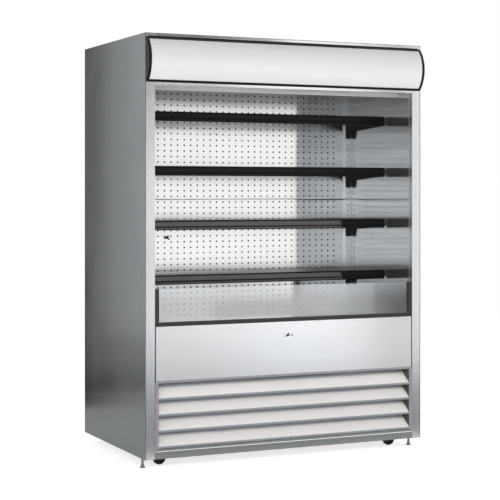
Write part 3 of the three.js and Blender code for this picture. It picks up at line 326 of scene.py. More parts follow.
def spangledZinc(name, colour, roughness):
    material, tree, shader = startMaterial(name, colour, roughness, metallic=1.0)
    flakes = addNode(tree, "ShaderNodeTexVoronoi", {"feature": "F1"}, Vector=placed(tree),
                     Scale=55.0, Randomness=1.0)
    flake = addNode(tree, "ShaderNodeSeparateColor", Color=flakes.outputs["Color"]).outputs["Red"]
    cloud = noise(tree, (2.5, 2.5, 2.5), detail=5.0)
    tone = tinted(tree, flake, scaled(colour, 0.86), scaled(colour, 1.1))
    tree.links.new(multiplied(tree, tone, tinted(tree, cloud, (0.9, 0.9, 0.9), (1, 1, 1))),
                   shader.inputs["Base Color"])
    tree.links.new(spread(tree, flake, roughness - 0.09, roughness + 0.09, 0, 1),
                   shader.inputs["Roughness"])
    bump(tree, shader, flake, 0.00003, 0.6)
    return material


def wovenCloth(name, colour):
    material, tree, shader = startMaterial(name, colour, roughness=0.85)
    weave = calculated(tree, "MULTIPLY", waves(tree, "X", "SIN", 260.0, 0.4),
                       waves(tree, "Z", "SIN", 260.0, 0.4))
    cloud = noise(tree, (14, 14, 14), detail=4.0)
    tone = tinted(tree, weave, scaled(colour, 0.78), colour)
    tree.links.new(multiplied(tree, tone, tinted(tree, cloud, (0.93, 0.93, 0.92), (1, 1, 1))),
                   shader.inputs["Base Color"])
    shader.inputs["Sheen Weight"].default_value = 0.25
    bump(tree, shader, weave, 0.0002, 0.8)
    return material


# paintedTopShade: the heights between which the panel is painted darker towards its top, as
# painted shade, and how dark it gets
def acrylicPanel(name, colour, paintedTopShade=None):
    material, tree, shader = startMaterial(name, colour, roughness=0.22)
    grit = noise(tree, (600, 600, 600), detail=2.0)
    wave = noise(tree, (2.5, 12, 12), detail=0.0)
    tone = tinted(tree, grit, scaled(colour, 0.99), scaled(colour, 1.005))
    if paintedTopShade:
        height = spread(tree, placeAlong(tree, "Z"), 0, 1, paintedTopShade["from"], paintedTopShade["to"])
        dark = (paintedTopShade["dark"], paintedTopShade["dark"], paintedTopShade["dark"] * 1.01)
        tone = multiplied(tree, tone, tinted(tree, height, (1, 1, 1), dark))
    tree.links.new(tone, shader.inputs["Base Color"])
    tree.links.new(spread(tree, grit, 0.21, 0.24), shader.inputs["Roughness"])
    shader.inputs["Subsurface Weight"].default_value = 0.15
    shader.inputs["Subsurface Radius"].default_value = (1, 1, 1)
    shader.inputs["Subsurface Scale"].default_value = 0.004
    bump(tree, shader, wave, 0.00008, 0.1)
    return material


# clear glass under a faint patchy film, which thins out to the right between two places: partly
# haze, partly a painted reflection that lightens the left of the pane
glassHazeAndPaintedReflection = {"colour": (0.95, 0.96, 0.975), "haze": 0.22, "thinnest": 0.2, "from": 0.2, "to": 0.5}


def paneGlass(name, tint):
    material, tree, film = startMaterial(name, glassHazeAndPaintedReflection["colour"], roughness=0.6)
    clear = addNode(tree, "ShaderNodeBsdfTransparent", Color=(*tint, 1))
    gloss = addNode(tree, "ShaderNodeBsdfGlossy", Color=(0.95, 1, 0.98, 1), Roughness=0.02)
    edgeOn = addNode(tree, "ShaderNodeFresnel", IOR=1.5).outputs["Fac"]
    pane = mixedShader(tree, edgeOn, clear.outputs["BSDF"], gloss.outputs["BSDF"])
    patches = noise(tree, (4, 4, 11), detail=6.0, rough=0.65)
    haze = glassHazeAndPaintedReflection["haze"]
    across = spread(tree, placeAlong(tree, "X"), haze, haze * glassHazeAndPaintedReflection["thinnest"],
                    glassHazeAndPaintedReflection["from"], glassHazeAndPaintedReflection["to"])
    cover = calculated(tree, "MULTIPLY", spread(tree, patches, 0.9, 1.1), across)
    both = mixedShader(tree, cover, pane, film.outputs["BSDF"])
    tree.links.new(both, tree.nodes["Material Output"].inputs["Surface"])
    return material


def finnedMetal(name, colour, pitch):
    material, tree, shader = startMaterial(name, colour, roughness=0.4, metallic=1.0)
    fins = waves(tree, "X", "TRI", math.pi / (10 * pitch * mm))
    cloud = noise(tree, (7, 7, 16), detail=5.0)
    # the darker half of each fin stripe is painted shade in the gaps between the fins
    tone = tinted(tree, fins, scaled(colour, 0.45), colour)
    tree.links.new(multiplied(tree, tone, tinted(tree, cloud, (0.82, 0.82, 0.8), (1, 1, 1))),
                   shader.inputs["Base Color"])
    bump(tree, shader, fins, 0.0008, 0.8)
    return material


def mattRubber(name, colour):
    material, tree, shader = startMaterial(name, colour, roughness=0.7)
    grit = noise(tree, (500, 500, 500), detail=4.0)
    dust = noise(tree, (30, 30, 30), detail=5.0)
    tree.links.new(tinted(tree, dust, colour, scaled(colour, 2.2)), shader.inputs["Base Color"])
    tree.links.new(spread(tree, dust, 0.6, 0.85), shader.inputs["Roughness"])
    bump(tree, shader, grit, 0.00015, 0.8)
    return material


# every finish, with its colour, its roughness and, on steel, the axis of its grain
materials = {
    "outer_steel": brushedSteel("outerSteel", (0.265, 0.281, 0.29), 0.24, "z", streaks=0.025),
    "post_steel": brushedSteel("postSteel", (0.84, 0.85, 0.86), 0.28, "z", streaks=0.025),
    "rail_steel": brushedSteel("railSteel", (0.95, 0.955, 0.96), 0.17, "x", streaks=0.025,
                               smear=0.3),
    "liner_steel": brushedSteel("linerSteel", (0.92, 0.925, 0.93), 0.13, "x", grain=0.1,
                                smudge=0.008, streaks=0.006, smear=0.9),
    "side_liner_steel": brushedSteel("sideLinerSteel", (0.91, 0.925, 0.93), 0.14, "y", grain=0.2,
                                     smudge=0.01, streaks=0.1, smear=0.92, pitch=55,
                                     metallic=0.95, spin=0.0),
    "deck_steel": brushedSteel("deckSteel", (0.93, 0.935, 0.94), 0.16, "x", grain=0.1,
                               streaks=0.01),
    "shelf_steel": brushedSteel("shelfSteel", (0.8, 0.8, 0.8), 0.42, "x", grain=0.2,
                                streaks=0.02),
    "upright_steel": brushedSteel("uprightSteel", (0.97, 0.975, 0.98), 0.15, "z", grain=0.2,
                                  streaks=0.02, smear=0.8, spin=0.25),
    "front_steel": brushedSteel("frontSteel", (0.965, 0.97, 0.98), 0.22, "x", grain=0.1,
                                streaks=0.008, smudge=0.01),
    "base_paint": brushedSteel("baseSteel", (0.34, 0.355, 0.355), 0.34, "x", grain=0.3,
                               streaks=0.08),
    "chrome": brushedSteel("chromePlate", (0.8, 0.81, 0.82), 0.07, "x", grain=0.1, streaks=0.01),
    "aluminium": brushedSteel("extrudedAluminium", (0.74, 0.75, 0.76), 0.32, "x"),
    "zinc": brushedSteel("zincPlate", (0.3, 0.305, 0.3), 0.3, "z", grain=1.5, streaks=0.1),
    "galvanised_steel": spangledZinc("galvanisedSteel", (0.55, 0.56, 0.57), 0.42),
    "louvre_enamel": paintedMetal("louvreEnamel", (0.84, 0.815, 0.8), 0.45, sheen=0.3),
    # grille paints: grey-blue frame paint, which is also painted shade on the blade lips; painted
    # shade on the blade roots and undersides; dark painted shade on the inner cheeks
    "louvre_frame_and_lip_shade": paintedMetal("louvreFrameAndLipShade", (0.31, 0.315, 0.345), 0.42, metallic=0.3),
    "louvre_shade": paintedMetal("louvreShade", (0.66, 0.665, 0.7), 0.6, sheen=0.2),
    "louvre_cheek_shade": paintedMetal("louvreCheekShade", (0.1, 0.102, 0.108), 0.6, sheen=0.2),
    "ceiling_paint": paintedMetal("ceilingPaint", (0.55, 0.56, 0.57), 0.5),
    # painted shade for the dark inside of the air duct
    "duct_shade": paintedMetal("ductShade", (0.05, 0.052, 0.055), 0.6, sheen=0.2),
    "bracket_paint": paintedMetal("bracketPaint", (0.012, 0.013, 0.014), 0.42, sheen=0.2),
    "compressor_paint": paintedMetal("compressorPaint", (0.015, 0.015, 0.017), 0.45, peel=2.0),
    "honeycomb": paintedMetal("honeycombFoil", (0.97, 0.975, 0.98), 0.5, peel=0.3, dust=0.02,
                              metallic=0.3),
    "black_trim": mouldedPlastic("blackTrim", (0.008, 0.009, 0.01), 0.35, sheen=0.18),
    "price_rail": mouldedPlastic("priceRailPlastic", (0.006, 0.007, 0.008), 0.14, texture=0.2,
                                 sheen=0.12),
    # painted reflection: a lighter, glossier plastic for the faces of the lower price rails
    "rail_painted_reflection": mouldedPlastic("railPaintedReflection", (0.02, 0.022, 0.023), 0.12, texture=0.2,
                                sheen=1.0),
    "frame_trim": mouldedPlastic("frameTrim", (0.03, 0.033, 0.035), 0.3, sheen=0.25),
    "fan_plastic": mouldedPlastic("fanPlastic", (0.025, 0.027, 0.03), 0.45),
    # the light panel is painted darker towards its top, as painted shade
    "light_panel": acrylicPanel("lightPanel", (0.76, 0.76, 0.77),
                                {"from": 1.5, "to": 1.65, "dark": 0.7}),
    "lamp_tube": acrylicPanel("lampTube", (0.93, 0.93, 0.91)),
    "glass": paneGlass("paneGlass", (0.97, 0.975, 0.98)),
    "blind_fabric": wovenCloth("blindCloth", (0.78, 0.78, 0.75)),
    "coil_fins": finnedMetal("coilFins", (0.4, 0.42, 0.43), pitch=2.4),
    "tyre": mattRubber("tyreRubber", (0.01, 0.01, 0.01)),
}
print("materials made:", len(materials))


cadMesh = {"merge": 0.01, "flatAngle": 0.5}


# a merged copy of a CAD node with its edges rounded, which stands for the node
def dressed(node, width, angle=30, look=None):
    piece = copyMesh(nodes[node], node + "_finish")
    onWholeMesh(piece, lambda: bpy.ops.mesh.remove_doubles(threshold=cadMesh["merge"] * mm),
                lambda: bpy.ops.mesh.dissolve_limited(
                    angle_limit=math.radians(cadMesh["flatAngle"])))
    if width:
        roundEdges(piece, width, angle=angle)
    smoothed(piece)
    wear(piece, materials[look or slotOf[node]], bodyOf[node])
    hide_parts(node)
    return piece


# how wide each node's edges are rounded, in mm
edgeWidths = {
    "corner_post_left": 0.5, "corner_post_right": 0.5, "top_panel": 0.8, "base_frame": 0.6,
    "rear_vent_cover": 0.3, "back_wall": 0.8, "deck_pan": 0.4, "canopy_ceiling": 0.4,
    "blind_pull_bar": 0.6, "lower_front_panel": 1.2, "louvre_grille": 0.5, "glass_frame": 1.0,
    "front_glass": 0.4, "header_housing": 0.4, "header_light_panel": 0.4,
    "header_end_cap_left": 0.8, "header_end_cap_right": 0.8, "levelling_foot_left": 0.4,
    "levelling_foot_right": 0.4, "caster_fork_front_left": 0.5, "caster_fork_front_right": 0.5,
    "caster_wheel_front_left": 0.8, "caster_wheel_front_right": 0.8,
    "caster_wheel_rear_left": 0.8, "caster_wheel_rear_right": 0.8, "blind_catch": 0.5,
    "compressor": 0.8, "temperature_probe": 0.4, "floor_tub": 0.6, "header_lamp": 0.3,
    "condenser_fan": 0.4, "evaporator_fan": 0.4, "shelf_upright_left": 0.3,
    "shelf_upright_right": 0.3,
}
# nodes whose finish isn't their slot's own
otherLooks = {
    "canopy_ceiling": "ceiling_paint", "deck_pan": "deck_steel", "glass_frame": "frame_trim",
    "shelf_upright_left": "upright_steel", "shelf_upright_right": "upright_steel",
    "caster_fork_front_left": "bracket_paint", "caster_fork_front_right": "bracket_paint",
}
dressedNodes = {node: dressed(node, width, look=otherLooks.get(node))
                for node, width in edgeWidths.items()}
print("single nodes dressed:", len(dressedNodes))

# shelves, numbered from the top; on the lower rails the face is painted lighter where they catch
# the light, a painted reflection, up to a dark end
shelfSet = {
    "count": 4,
    "shelfEdge": 0.5,
    "bracketEdge": 0.5,
    "railEdge": 0.35,
    "railLip": 0.8,
    "firstPaleRail": 3,
    "paleEnd": 360.0,
    "paleSlant": 0.25,
}
for number in range(1, shelfSet["count"] + 1):
    dressed(f"shelf_{number}", shelfSet["shelfEdge"], look="shelf_steel")
    rail = dressed(f"price_rail_{number}", shelfSet["railEdge"], angle=40)
    if number >= shelfSet["firstPaleRail"]:
        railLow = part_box(f"price_rail_{number}")[0]
        faceDepth = railLow.y + shelfSet["railLip"] * mm
        darkFrom = shelfSet["paleEnd"] * mm
        cut(rail, (darkFrom, 0, railLow.z), (1, 0, shelfSet["paleSlant"]))
        smoothed(rail)
        # painted reflection on the rail's face, left of the slanted cut
        paintFaces(rail, materials["rail_painted_reflection"],
                   lambda centre, normal: normal.y < -nearlySquare and centre.y > faceDepth
                   and centre.x < darkFrom)
    for side in ("left", "right"):
        dressed(f"shelf_bracket_{number}_{side}", shelfSet["bracketEdge"])
print("shelves dressed:", shelfSet["count"])

# side walls: brushed skin outside, polished liner inside, up to just past the posts' inner edges
sideWalls = {"edge": 0.6, "linerLap": 3.0}
for side, sign in (("left", -1), ("right", 1)):
    wall = dressed(f"side_wall_{side}", sideWalls["edge"])
    postLow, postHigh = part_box(f"corner_post_{side}")
    linerEdge = min(abs(postLow.x), abs(postHigh.x)) + sideWalls["linerLap"] * mm
    paintFaces(wall, materials["side_liner_steel"],
               lambda centre, normal: abs(centre.x) < linerEdge and normal.x * sign < halfway)

dressed("top_rail", width=0.4, look="rail_steel")

# back wall: the face towards the air duct is painted near-black, painted shade for the dark inside
# of the duct
ductFace = {"depth": 5.0}
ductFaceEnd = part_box("back_wall")[0].y + ductFace["depth"] * mm
paintFaces(dressedNodes["back_wall"], materials["duct_shade"],
           lambda centre, normal: normal.y < -halfway and centre.y < ductFaceEnd)

# base rail: its folded step is painted in a lighter steel, a painted highlight where it catches
# the light
baseStep = {"depth": 12.0, "rise": 0.3, "lean": 0.2}
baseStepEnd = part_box("base_frame")[0].y + baseStep["depth"] * mm
paintFaces(dressedNodes["base_frame"], materials["rail_steel"],
           lambda centre, normal: centre.y < baseStepEnd and normal.z > baseStep["rise"]
           and normal.y < -baseStep["lean"])

# header: the upper trim laps the roof's edge
headerTrim = {"depth": 1.5, "lap": 3.0}
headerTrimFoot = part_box("header_housing")[1].z - headerTrim["depth"] * mm
pick(dressedNodes["header_housing"], "FACE",
     lambda centre, normal: normal.z > mainly and centre.z > headerTrimFoot)
slide((0, 0, headerTrim["lap"] * mm))
objectMode()

# grille: pale blades, grey frame, and painted shade: grey blade lips, darker blade roots and
# undersides, dark inner cheeks
louvre = {"cheek": 14.2, "paleDepth": 45.0}
grille = dressedNodes["louvre_grille"]
grilleLow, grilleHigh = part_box("louvre_grille")
cheek = grilleHigh.x - louvre["cheek"] * mm
paleEnd = grilleLow.y + louvre["paleDepth"] * mm
cut(grille, (-cheek, 0, 0), (1, 0, 0))
cut(grille, (cheek, 0, 0), (1, 0, 0))
cut(grille, (0, paleEnd, 0), (0, 1, 0))
smoothed(grille)
# frame paint, and painted shade on the blade lips
paintFaces(grille, materials["louvre_frame_and_lip_shade"],
           lambda centre, normal: abs(centre.x) > cheek or normal.y < -mainly)
# painted shade on the blade roots and undersides
paintFaces(grille, materials["louvre_shade"],
           lambda centre, normal: abs(centre.x) < cheek
           and (centre.y > paleEnd or normal.z < -halfway))
# dark painted shade on the inner cheeks
paintFaces(grille, materials["louvre_cheek_shade"],
           lambda centre, normal: abs(centre.x) > cheek
           and normal.x * centre.x < -halfway * abs(centre.x))
print("shell finished")

# perforated back panels: one tile with a round hole, repeated over the sheet
ductHoles = {
    "pitchX": 30.0,
    "pitchZ": 24.1,
    "radius": 3.7,
    "sides": 12,
    "lastColumn": 488.7,
    "columns": 33,
    "topRow": 1476.6,
    "upperRows": 19,
    "lowerRows": 21,
    "sheet": 1.2,
    "fold": 8.5,
    "foldRound": 1.6,
    "merge": 0.2,
    "longStep": 2.0,
    "smoothAngle": 35,
}


# a short step slides the sheet's edge to its place, a long one adds a plain strip
def moveEdge(piece, axis, side, target):
    values = [vertex.co[axis] for vertex in piece.data.vertices]
    limit = max(values) if side > 0 else min(values)
    step = [0, 0, 0]
    step[axis] = target - limit
    pick(piece, "EDGE", lambda place: abs(place[axis] - limit) < touching)
    if abs(target - limit) > ductHoles["longStep"] * mm:
        extrude(step)
    else:
        slide(step)
    objectMode()


def pickSheetEdge(sheet, height, face):
    pick(sheet, "EDGE",
         lambda place: abs(place.z - height) < touching and place.y < face + touching)


def perforatedPanel(node, topRow, rows):
    holes = ductHoles
    low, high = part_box(node)
    pitchX, pitchZ = holes["pitchX"] * mm, holes["pitchZ"] * mm
    bottomRow = (topRow - (rows - 1) * holes["pitchZ"]) * mm
    firstColumn = (holes["lastColumn"] - (holes["columns"] - 1) * holes["pitchX"]) * mm
    centre = Vector((firstColumn, low.y, bottomRow))
    upright = math.pi / 2
    deselectAll()
    bpy.ops.mesh.primitive_plane_add(size=1, location=centre, rotation=(upright, 0, 0))
    bpy.context.object.scale = (pitchX, pitchZ, 1)
    sheet = newPiece(node + "_perforated")
    onWholeMesh(sheet, lambda: bpy.ops.mesh.subdivide(number_cuts=holes["sides"] // 4 - 1),
                lambda: bpy.ops.mesh.dissolve_faces(),
                lambda: bpy.ops.mesh.delete(type="ONLY_FACE"),
                lambda: bpy.ops.mesh.primitive_circle_add(
                    vertices=holes["sides"], radius=holes["radius"] * mm, location=centre,
                    rotation=(upright, math.pi / holes["sides"], 0)),
                selectMesh,
                lambda: bpy.ops.mesh.bridge_edge_loops())
    repeat(sheet, holes["columns"], (pitchX, 0, 0), holes["merge"])
    repeat(sheet, rows, (0, 0, pitchZ), holes["merge"])
    for axis, side, target in ((0, -1, low.x), (0, 1, high.x), (2, -1, low.z), (2, 1, high.z)):
        moveEdge(sheet, axis, side, target)
    for edge in (low.z, high.z):
        pickSheetEdge(sheet, edge, low.y)
        extrude((0, holes["fold"] * mm, 0))
        objectMode()
        pickSheetEdge(sheet, edge, low.y)
        bpy.ops.mesh.bevel(offset=holes["foldRound"] * mm, segments=3)
        objectMode()
    onWholeMesh(sheet, lambda: bpy.ops.mesh.normals_make_consistent(inside=False))
    front = next(face for face in sheet.data.polygons if abs(face.normal.y) > nearlySquare)
    if front.normal.y > 0:
        onWholeMesh(sheet, lambda: bpy.ops.mesh.flip_normals())
    addModifier(sheet, "SOLIDIFY", thickness=holes["sheet"] * mm, offset=-1.0)
    selectOnly(sheet)
    bpy.ops.object.shade_smooth_by_angle(angle=math.radians(holes["smoothAngle"]))
    wear(sheet, materials["liner_steel"], bodyOf[node])
    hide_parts(node)


perforatedPanel("duct_panel_upper", ductHoles["topRow"], ductHoles["upperRows"])
perforatedPanel("duct_panel_lower",
                ductHoles["topRow"] - ductHoles["upperRows"] * ductHoles["pitchZ"],
                ductHoles["lowerRows"])
print("back panels perforated")

# air outlet: a slab of hexagonal tubes in a thin rim, slanted like the node it replaces
outlet = {"cell": 8.0, "wall": 0.5, "rim": 1.2, "height": 22.0, "doubleRows": 3, "spareCells": 2,
          "merge": 0.2, "weld": 0.1}


def airOutlet():
    low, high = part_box("air_outlet_honeycomb")
    tall, rim, cell = (outlet[key] * mm for key in ("height", "rim", "cell"))
    fall = high.z - low.z - tall  # from the front edge to the back edge
    tilt = -math.atan2(fall, high.y - low.y)
    radius = cell / math.sqrt(3)
    rowStep = Vector((0, 1.5 * radius * math.cos(tilt), 1.5 * radius * math.sin(tilt)))
    deselectAll()
    bpy.ops.mesh.primitive_circle_add(vertices=6, radius=radius, rotation=(tilt, 0, 0),
                                      location=(low.x, low.y, low.z + fall))
    cells = newPiece("air_outlet_cells")
    pick(cells, "EDGE", lambda place: True)
    bpy.ops.mesh.extrude_edges_move(TRANSFORM_OT_translate={"value": (0, 0, tall)})
    objectMode()
    repeat(cells, int((high.x - low.x) / cell) + outlet["spareCells"], (cell, 0, 0),
           outlet["merge"])
    twin = copyMesh(cells, "cellRow", rowStep + Vector((cell / 2, 0, 0)))
    selectOnly(cells)
    twin.select_set(True)
    bpy.ops.object.join()
    repeat(cells, outlet["doubleRows"], 2 * rowStep, outlet["merge"])
    onWholeMesh(cells, lambda: bpy.ops.mesh.remove_doubles(threshold=outlet["weld"] * mm))
    for axis, place in ((0, low.x + rim), (0, high.x - rim), (1, low.y + rim), (1, high.y - rim)):
        normal, point = [0, 0, 0], [0, 0, 0]
        normal[axis], point[axis] = 1, place
        keepAbove = place < (low[axis] + high[axis]) / 2
        cut(cells, point, normal, clear_inner=keepAbove, clear_outer=not keepAbove)
    addModifier(cells, "SOLIDIFY", thickness=outlet["wall"] * mm, offset=0.0)
    deselectAll()
    middle = ((low.x + high.x) / 2, (low.y + high.y) / 2, low.z + tall / 2)
    bpy.ops.mesh.primitive_cube_add(size=1, location=middle)
    bpy.context.object.scale = (high.x - low.x, high.y - low.y, tall)
    outletRim = newPiece("outletRim")
    pick(outletRim, "FACE", lambda centre, normal: normal.y < -nearlySquare)
    slide((0, 0, fall))
    objectMode()
    pick(outletRim, "FACE", lambda centre, normal: abs(normal.z) > mainly)
    bpy.ops.mesh.inset(thickness=rim, use_even_offset=True)
    bpy.ops.mesh.bridge_edge_loops()
    objectMode()
    selectOnly(cells)
    outletRim.select_set(True)
    bpy.ops.object.join()
    wear(cells, materials["honeycomb"], "cabinet")
    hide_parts("air_outlet_honeycomb")


airOutlet()
print("air outlet made")

# night blind: its free length hangs to the pull bar, the rest is wound on the tube
blind = {
    "turns": 9.5,
    "stepsPerTurn": 20,
    "columns": 24,
    "rows": 24,
    "tubeRadius": 14.0,
    "tubeSides": 32,
    "tubeGap": 0.3,
    "tubeEdge": 0.3,
    "pinRadius": 5.3,
    "pinLength": 2.0,
}


# one line of edges across the cloth, drawn out step by step along its profile
def clothStrip(name, profile, left, right, columns):
    y, z = profile[0]
    deselectAll()
    bpy.ops.mesh.primitive_grid_add(x_subdivisions=columns, y_subdivisions=1, size=1,
                                    location=((left + right) / 2, y + mm / 2, z))
    bpy.context.object.scale = (right - left, mm, 1)
    strip = newPiece(name)
    pick(strip, "EDGE", lambda place: place.y > y + mm / 2)
    bpy.ops.mesh.delete(type="VERT")
    objectMode()
    pick(strip, "EDGE", lambda place: True)
    for (fromY, fromZ), (toY, toZ) in zip(profile, profile[1:]):
        extrude((0, toY - fromY, toZ - fromZ))
    objectMode()
    selectOnly(strip)
    bpy.ops.object.shade_smooth()
    return strip


def hangingCloth():
    low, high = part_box("blind_cloth")
    middle = (low.y + high.y) / 2
    drop = [(middle, high.z + (low.z - high.z) * i / blind["rows"])
            for i in range(blind["rows"] + 1)]
    hang = clothStrip("blind_cloth_free", drop, low.x, high.x, blind["columns"])
    hang.data.materials.append(materials["blind_fabric"])
    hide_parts("blind_cloth")
    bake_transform(hang)
    return hang


def woundRoll():
    low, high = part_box("blind_roller")
    clothLow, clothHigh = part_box("blind_cloth")
    centre = (low + high) / 2
    outer = (high.z - low.z) / 2
    inner = blind["tubeRadius"] * mm
    count = int(blind["turns"] * blind["stepsPerTurn"])
    spiral = []
    for i in range(count + 1):
        radius = outer - (outer - inner) * i / count
        angle = math.pi + 2 * math.pi * blind["turns"] * i / count
        spiral.append((centre.y + radius * math.cos(angle), centre.z + radius * math.sin(angle)))
    roll = clothStrip("blind_cloth_wound", spiral, clothLow.x, clothHigh.x, 1)
    wear(roll, materials["blind_fabric"], "blind_roller")
    pin = blind["pinLength"] * mm
    deselectAll()
    bpy.ops.mesh.primitive_cylinder_add(vertices=blind["tubeSides"],
                                        radius=inner - blind["tubeGap"] * mm,
                                        depth=high.x - low.x - 2 * pin,
                                        location=centre, rotation=(0, math.pi / 2, 0))
    tube = newPiece("blind_roller_tube")
    for sign in (-1, 1):
        pick(tube, "FACE", lambda centre, normal: normal.x * sign > nearlySquare)
        bpy.ops.mesh.inset(thickness=(blind["tubeRadius"] - blind["pinRadius"]) * mm)
        extrude((sign * pin, 0, 0))
        objectMode()
    roundEdges(tube, blind["tubeEdge"])
    smoothed(tube)
    wear(tube, materials["aluminium"], "blind_roller")
    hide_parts("blind_roller")


woundRoll()
hangingCloth()
print("night blind made")


# small pieces: the catch's lever and screw, the probe's second arm, the back's screws
def peg(name, start, end, radius, rounding, sides=14):
    along = end - start
    deselectAll()
    bpy.ops.mesh.primitive_cylinder_add(vertices=sides, radius=radius * mm, depth=along.length,
                                        location=(start + end) / 2,
                                        rotation=along.to_track_quat("Z", "Y").to_euler())
    piece = newPiece(name)
    roundEdges(piece, rounding, 3)
    smoothed(piece)
    wear(piece, materials["black_trim"], "cabinet")


# places in mm, across and up from the middle of the catch
catch = {
    "plateFace": 2.5,
    "leverFrom": (-12.0, -2.6),
    "leverTo": (-3.5, 6.2),
    "leverWidth": 6.0,
    "leverDepth": 2.6,
    "leverRound": 1.2,
    "screwAcross": 12.6,
    "screwDepth": 2.4,
    "screwRadius": 3.6,
    "screwRound": 1.62,
}


def catchFittings():
    low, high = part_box("blind_catch")
    middle = Vector(((low.x + high.x) / 2, high.y - catch["plateFace"] * mm, (low.z + high.z) / 2))
    start, end = (middle + Vector((x * mm, 0, z * mm))
                  for x, z in (catch["leverFrom"], catch["leverTo"]))
    turn = -math.atan2(end.z - start.z, end.x - start.x)
    width, depth = catch["leverWidth"] * mm, catch["leverDepth"] * mm
    deselectAll()
    bpy.ops.mesh.primitive_cube_add(size=1, rotation=(0, turn, 0),
                                    location=(start + end) / 2 - Vector((0, depth / 2, 0)))
    bpy.context.object.scale = ((end - start).length + width, depth, width)
    lever = newPiece("blind_catch_lever")
    pick(lever, "EDGE", lambda place: True)
    bpy.ops.mesh.bevel(offset=catch["leverRound"] * mm, segments=3, affect="EDGES")
    objectMode()
    smoothed(lever)
    wear(lever, materials["black_trim"], "cabinet")
    seat = middle + Vector((catch["screwAcross"] * mm, 0, 0))
    peg("blind_catch_screw", seat, seat - Vector((0, catch["screwDepth"] * mm, 0)),
        catch["screwRadius"], catch["screwRound"])


# places in mm, across and up from the middle of the probe
probe = {"faceDepth": 4.0, "armFrom": (1.0, -1.0), "armTo": (13.0, -9.5), "armRadius": 2.3,
         "armRound": 1.035}


def probeArm():
    low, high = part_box("temperature_probe")
    middle = Vector(((low.x + high.x) / 2, low.y + probe["faceDepth"] * mm, (low.z + high.z) / 2))
    start, end = (middle + Vector((x * mm, 0, z * mm))
                  for x, z in (probe["armFrom"], probe["armTo"]))
    peg("temperature_probe_arm", start, end, probe["armRadius"], probe["armRound"])


# a domed head with a round socket
backScrew = {
    "radius": 4.2,
    "sides": 18,
    "head": 1.5,
    "rim": 1.3,
    "dome": 0.2,
    "land": 1.2,
    "socket": 1.1,
    "edge": 0.25,
    "inset": 14.0,
    "pitch": 290.0,
    "acrossCover": (-1, -0.5, 0, 0.5, 1),
}


def screwPlaces():
    coverLow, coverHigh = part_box("rear_vent_cover")
    wallLow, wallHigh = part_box("back_wall")
    inset, pitch = backScrew["inset"] * mm, backScrew["pitch"] * mm
    places = [(x * (coverHigh.x - inset), z) for x in backScrew["acrossCover"]
              for z in (coverLow.z + inset, coverHigh.z - inset)]
    rows = int((wallHigh.z - wallLow.z) / pitch) + 1
    places += [(x * (wallHigh.x - inset), wallLow.z + inset + row * pitch)
               for x in (-1, 1) for row in range(rows)]
    return places


def backScrews():
    head = backScrew["head"] * mm
    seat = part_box("rear_vent_cover")[1].y
    deselectAll()
    bpy.ops.mesh.primitive_cylinder_add(vertices=backScrew["sides"],
                                        radius=backScrew["radius"] * mm, depth=head,
                                        location=(0, seat + head / 2, 0),
                                        rotation=(math.pi / 2, 0, 0))
    first = newPiece("back_screw")
    pick(first, "FACE", lambda centre, normal: normal.y > nearlySquare)
    bpy.ops.mesh.inset(thickness=backScrew["rim"] * mm)
    slide((0, backScrew["dome"] * mm, 0))
    bpy.ops.mesh.inset(thickness=backScrew["land"] * mm)
    extrude((0, -backScrew["socket"] * mm, 0))
    objectMode()
    roundEdges(first, backScrew["edge"])
    smoothed(first)
    wear(first, materials["zinc"], "cabinet")
    places = screwPlaces()
    for number, (x, z) in enumerate(places[1:], 2):
        screw = copyMesh(first, f"back_screw_{number}", (x, 0, z))
        wear(screw, materials["zinc"], "cabinet")
    first.location = (places[0][0], 0, places[0][1])
    selectOnly(first)
    bpy.ops.object.transform_apply(location=True, rotation=False, scale=False)


catchFittings()
probeArm()
backScrews()
print("small pieces made")

# coils keep their CAD form
for node in ("condenser_coil", "evaporator_coil"):
    dressed(node, width=0)

# stage: floor, lamps, world and camera
stage = {
    "floorSize": 9.0,
    "floorColour": (0.8, 0.8, 0.8, 1),
    "floorRoughness": 0.9,
    "floorLift": 0.72,
    "floorGlow": 0.2,
    "ambient": 0.36,
    "cardColour": (0.93, 0.97, 1, 1),
}
# name, place, point it faces, size, power
lamps = [
    ("keyLamp", (0.9, -5.2, 2.4), (0, 0, 0.9), (3.4, 1.8), 165.0),
    ("fillLamp", (-3.4, -2.8, 2.2), (0, 0, 0.8), (2.4, 2.4), 40.0),
]
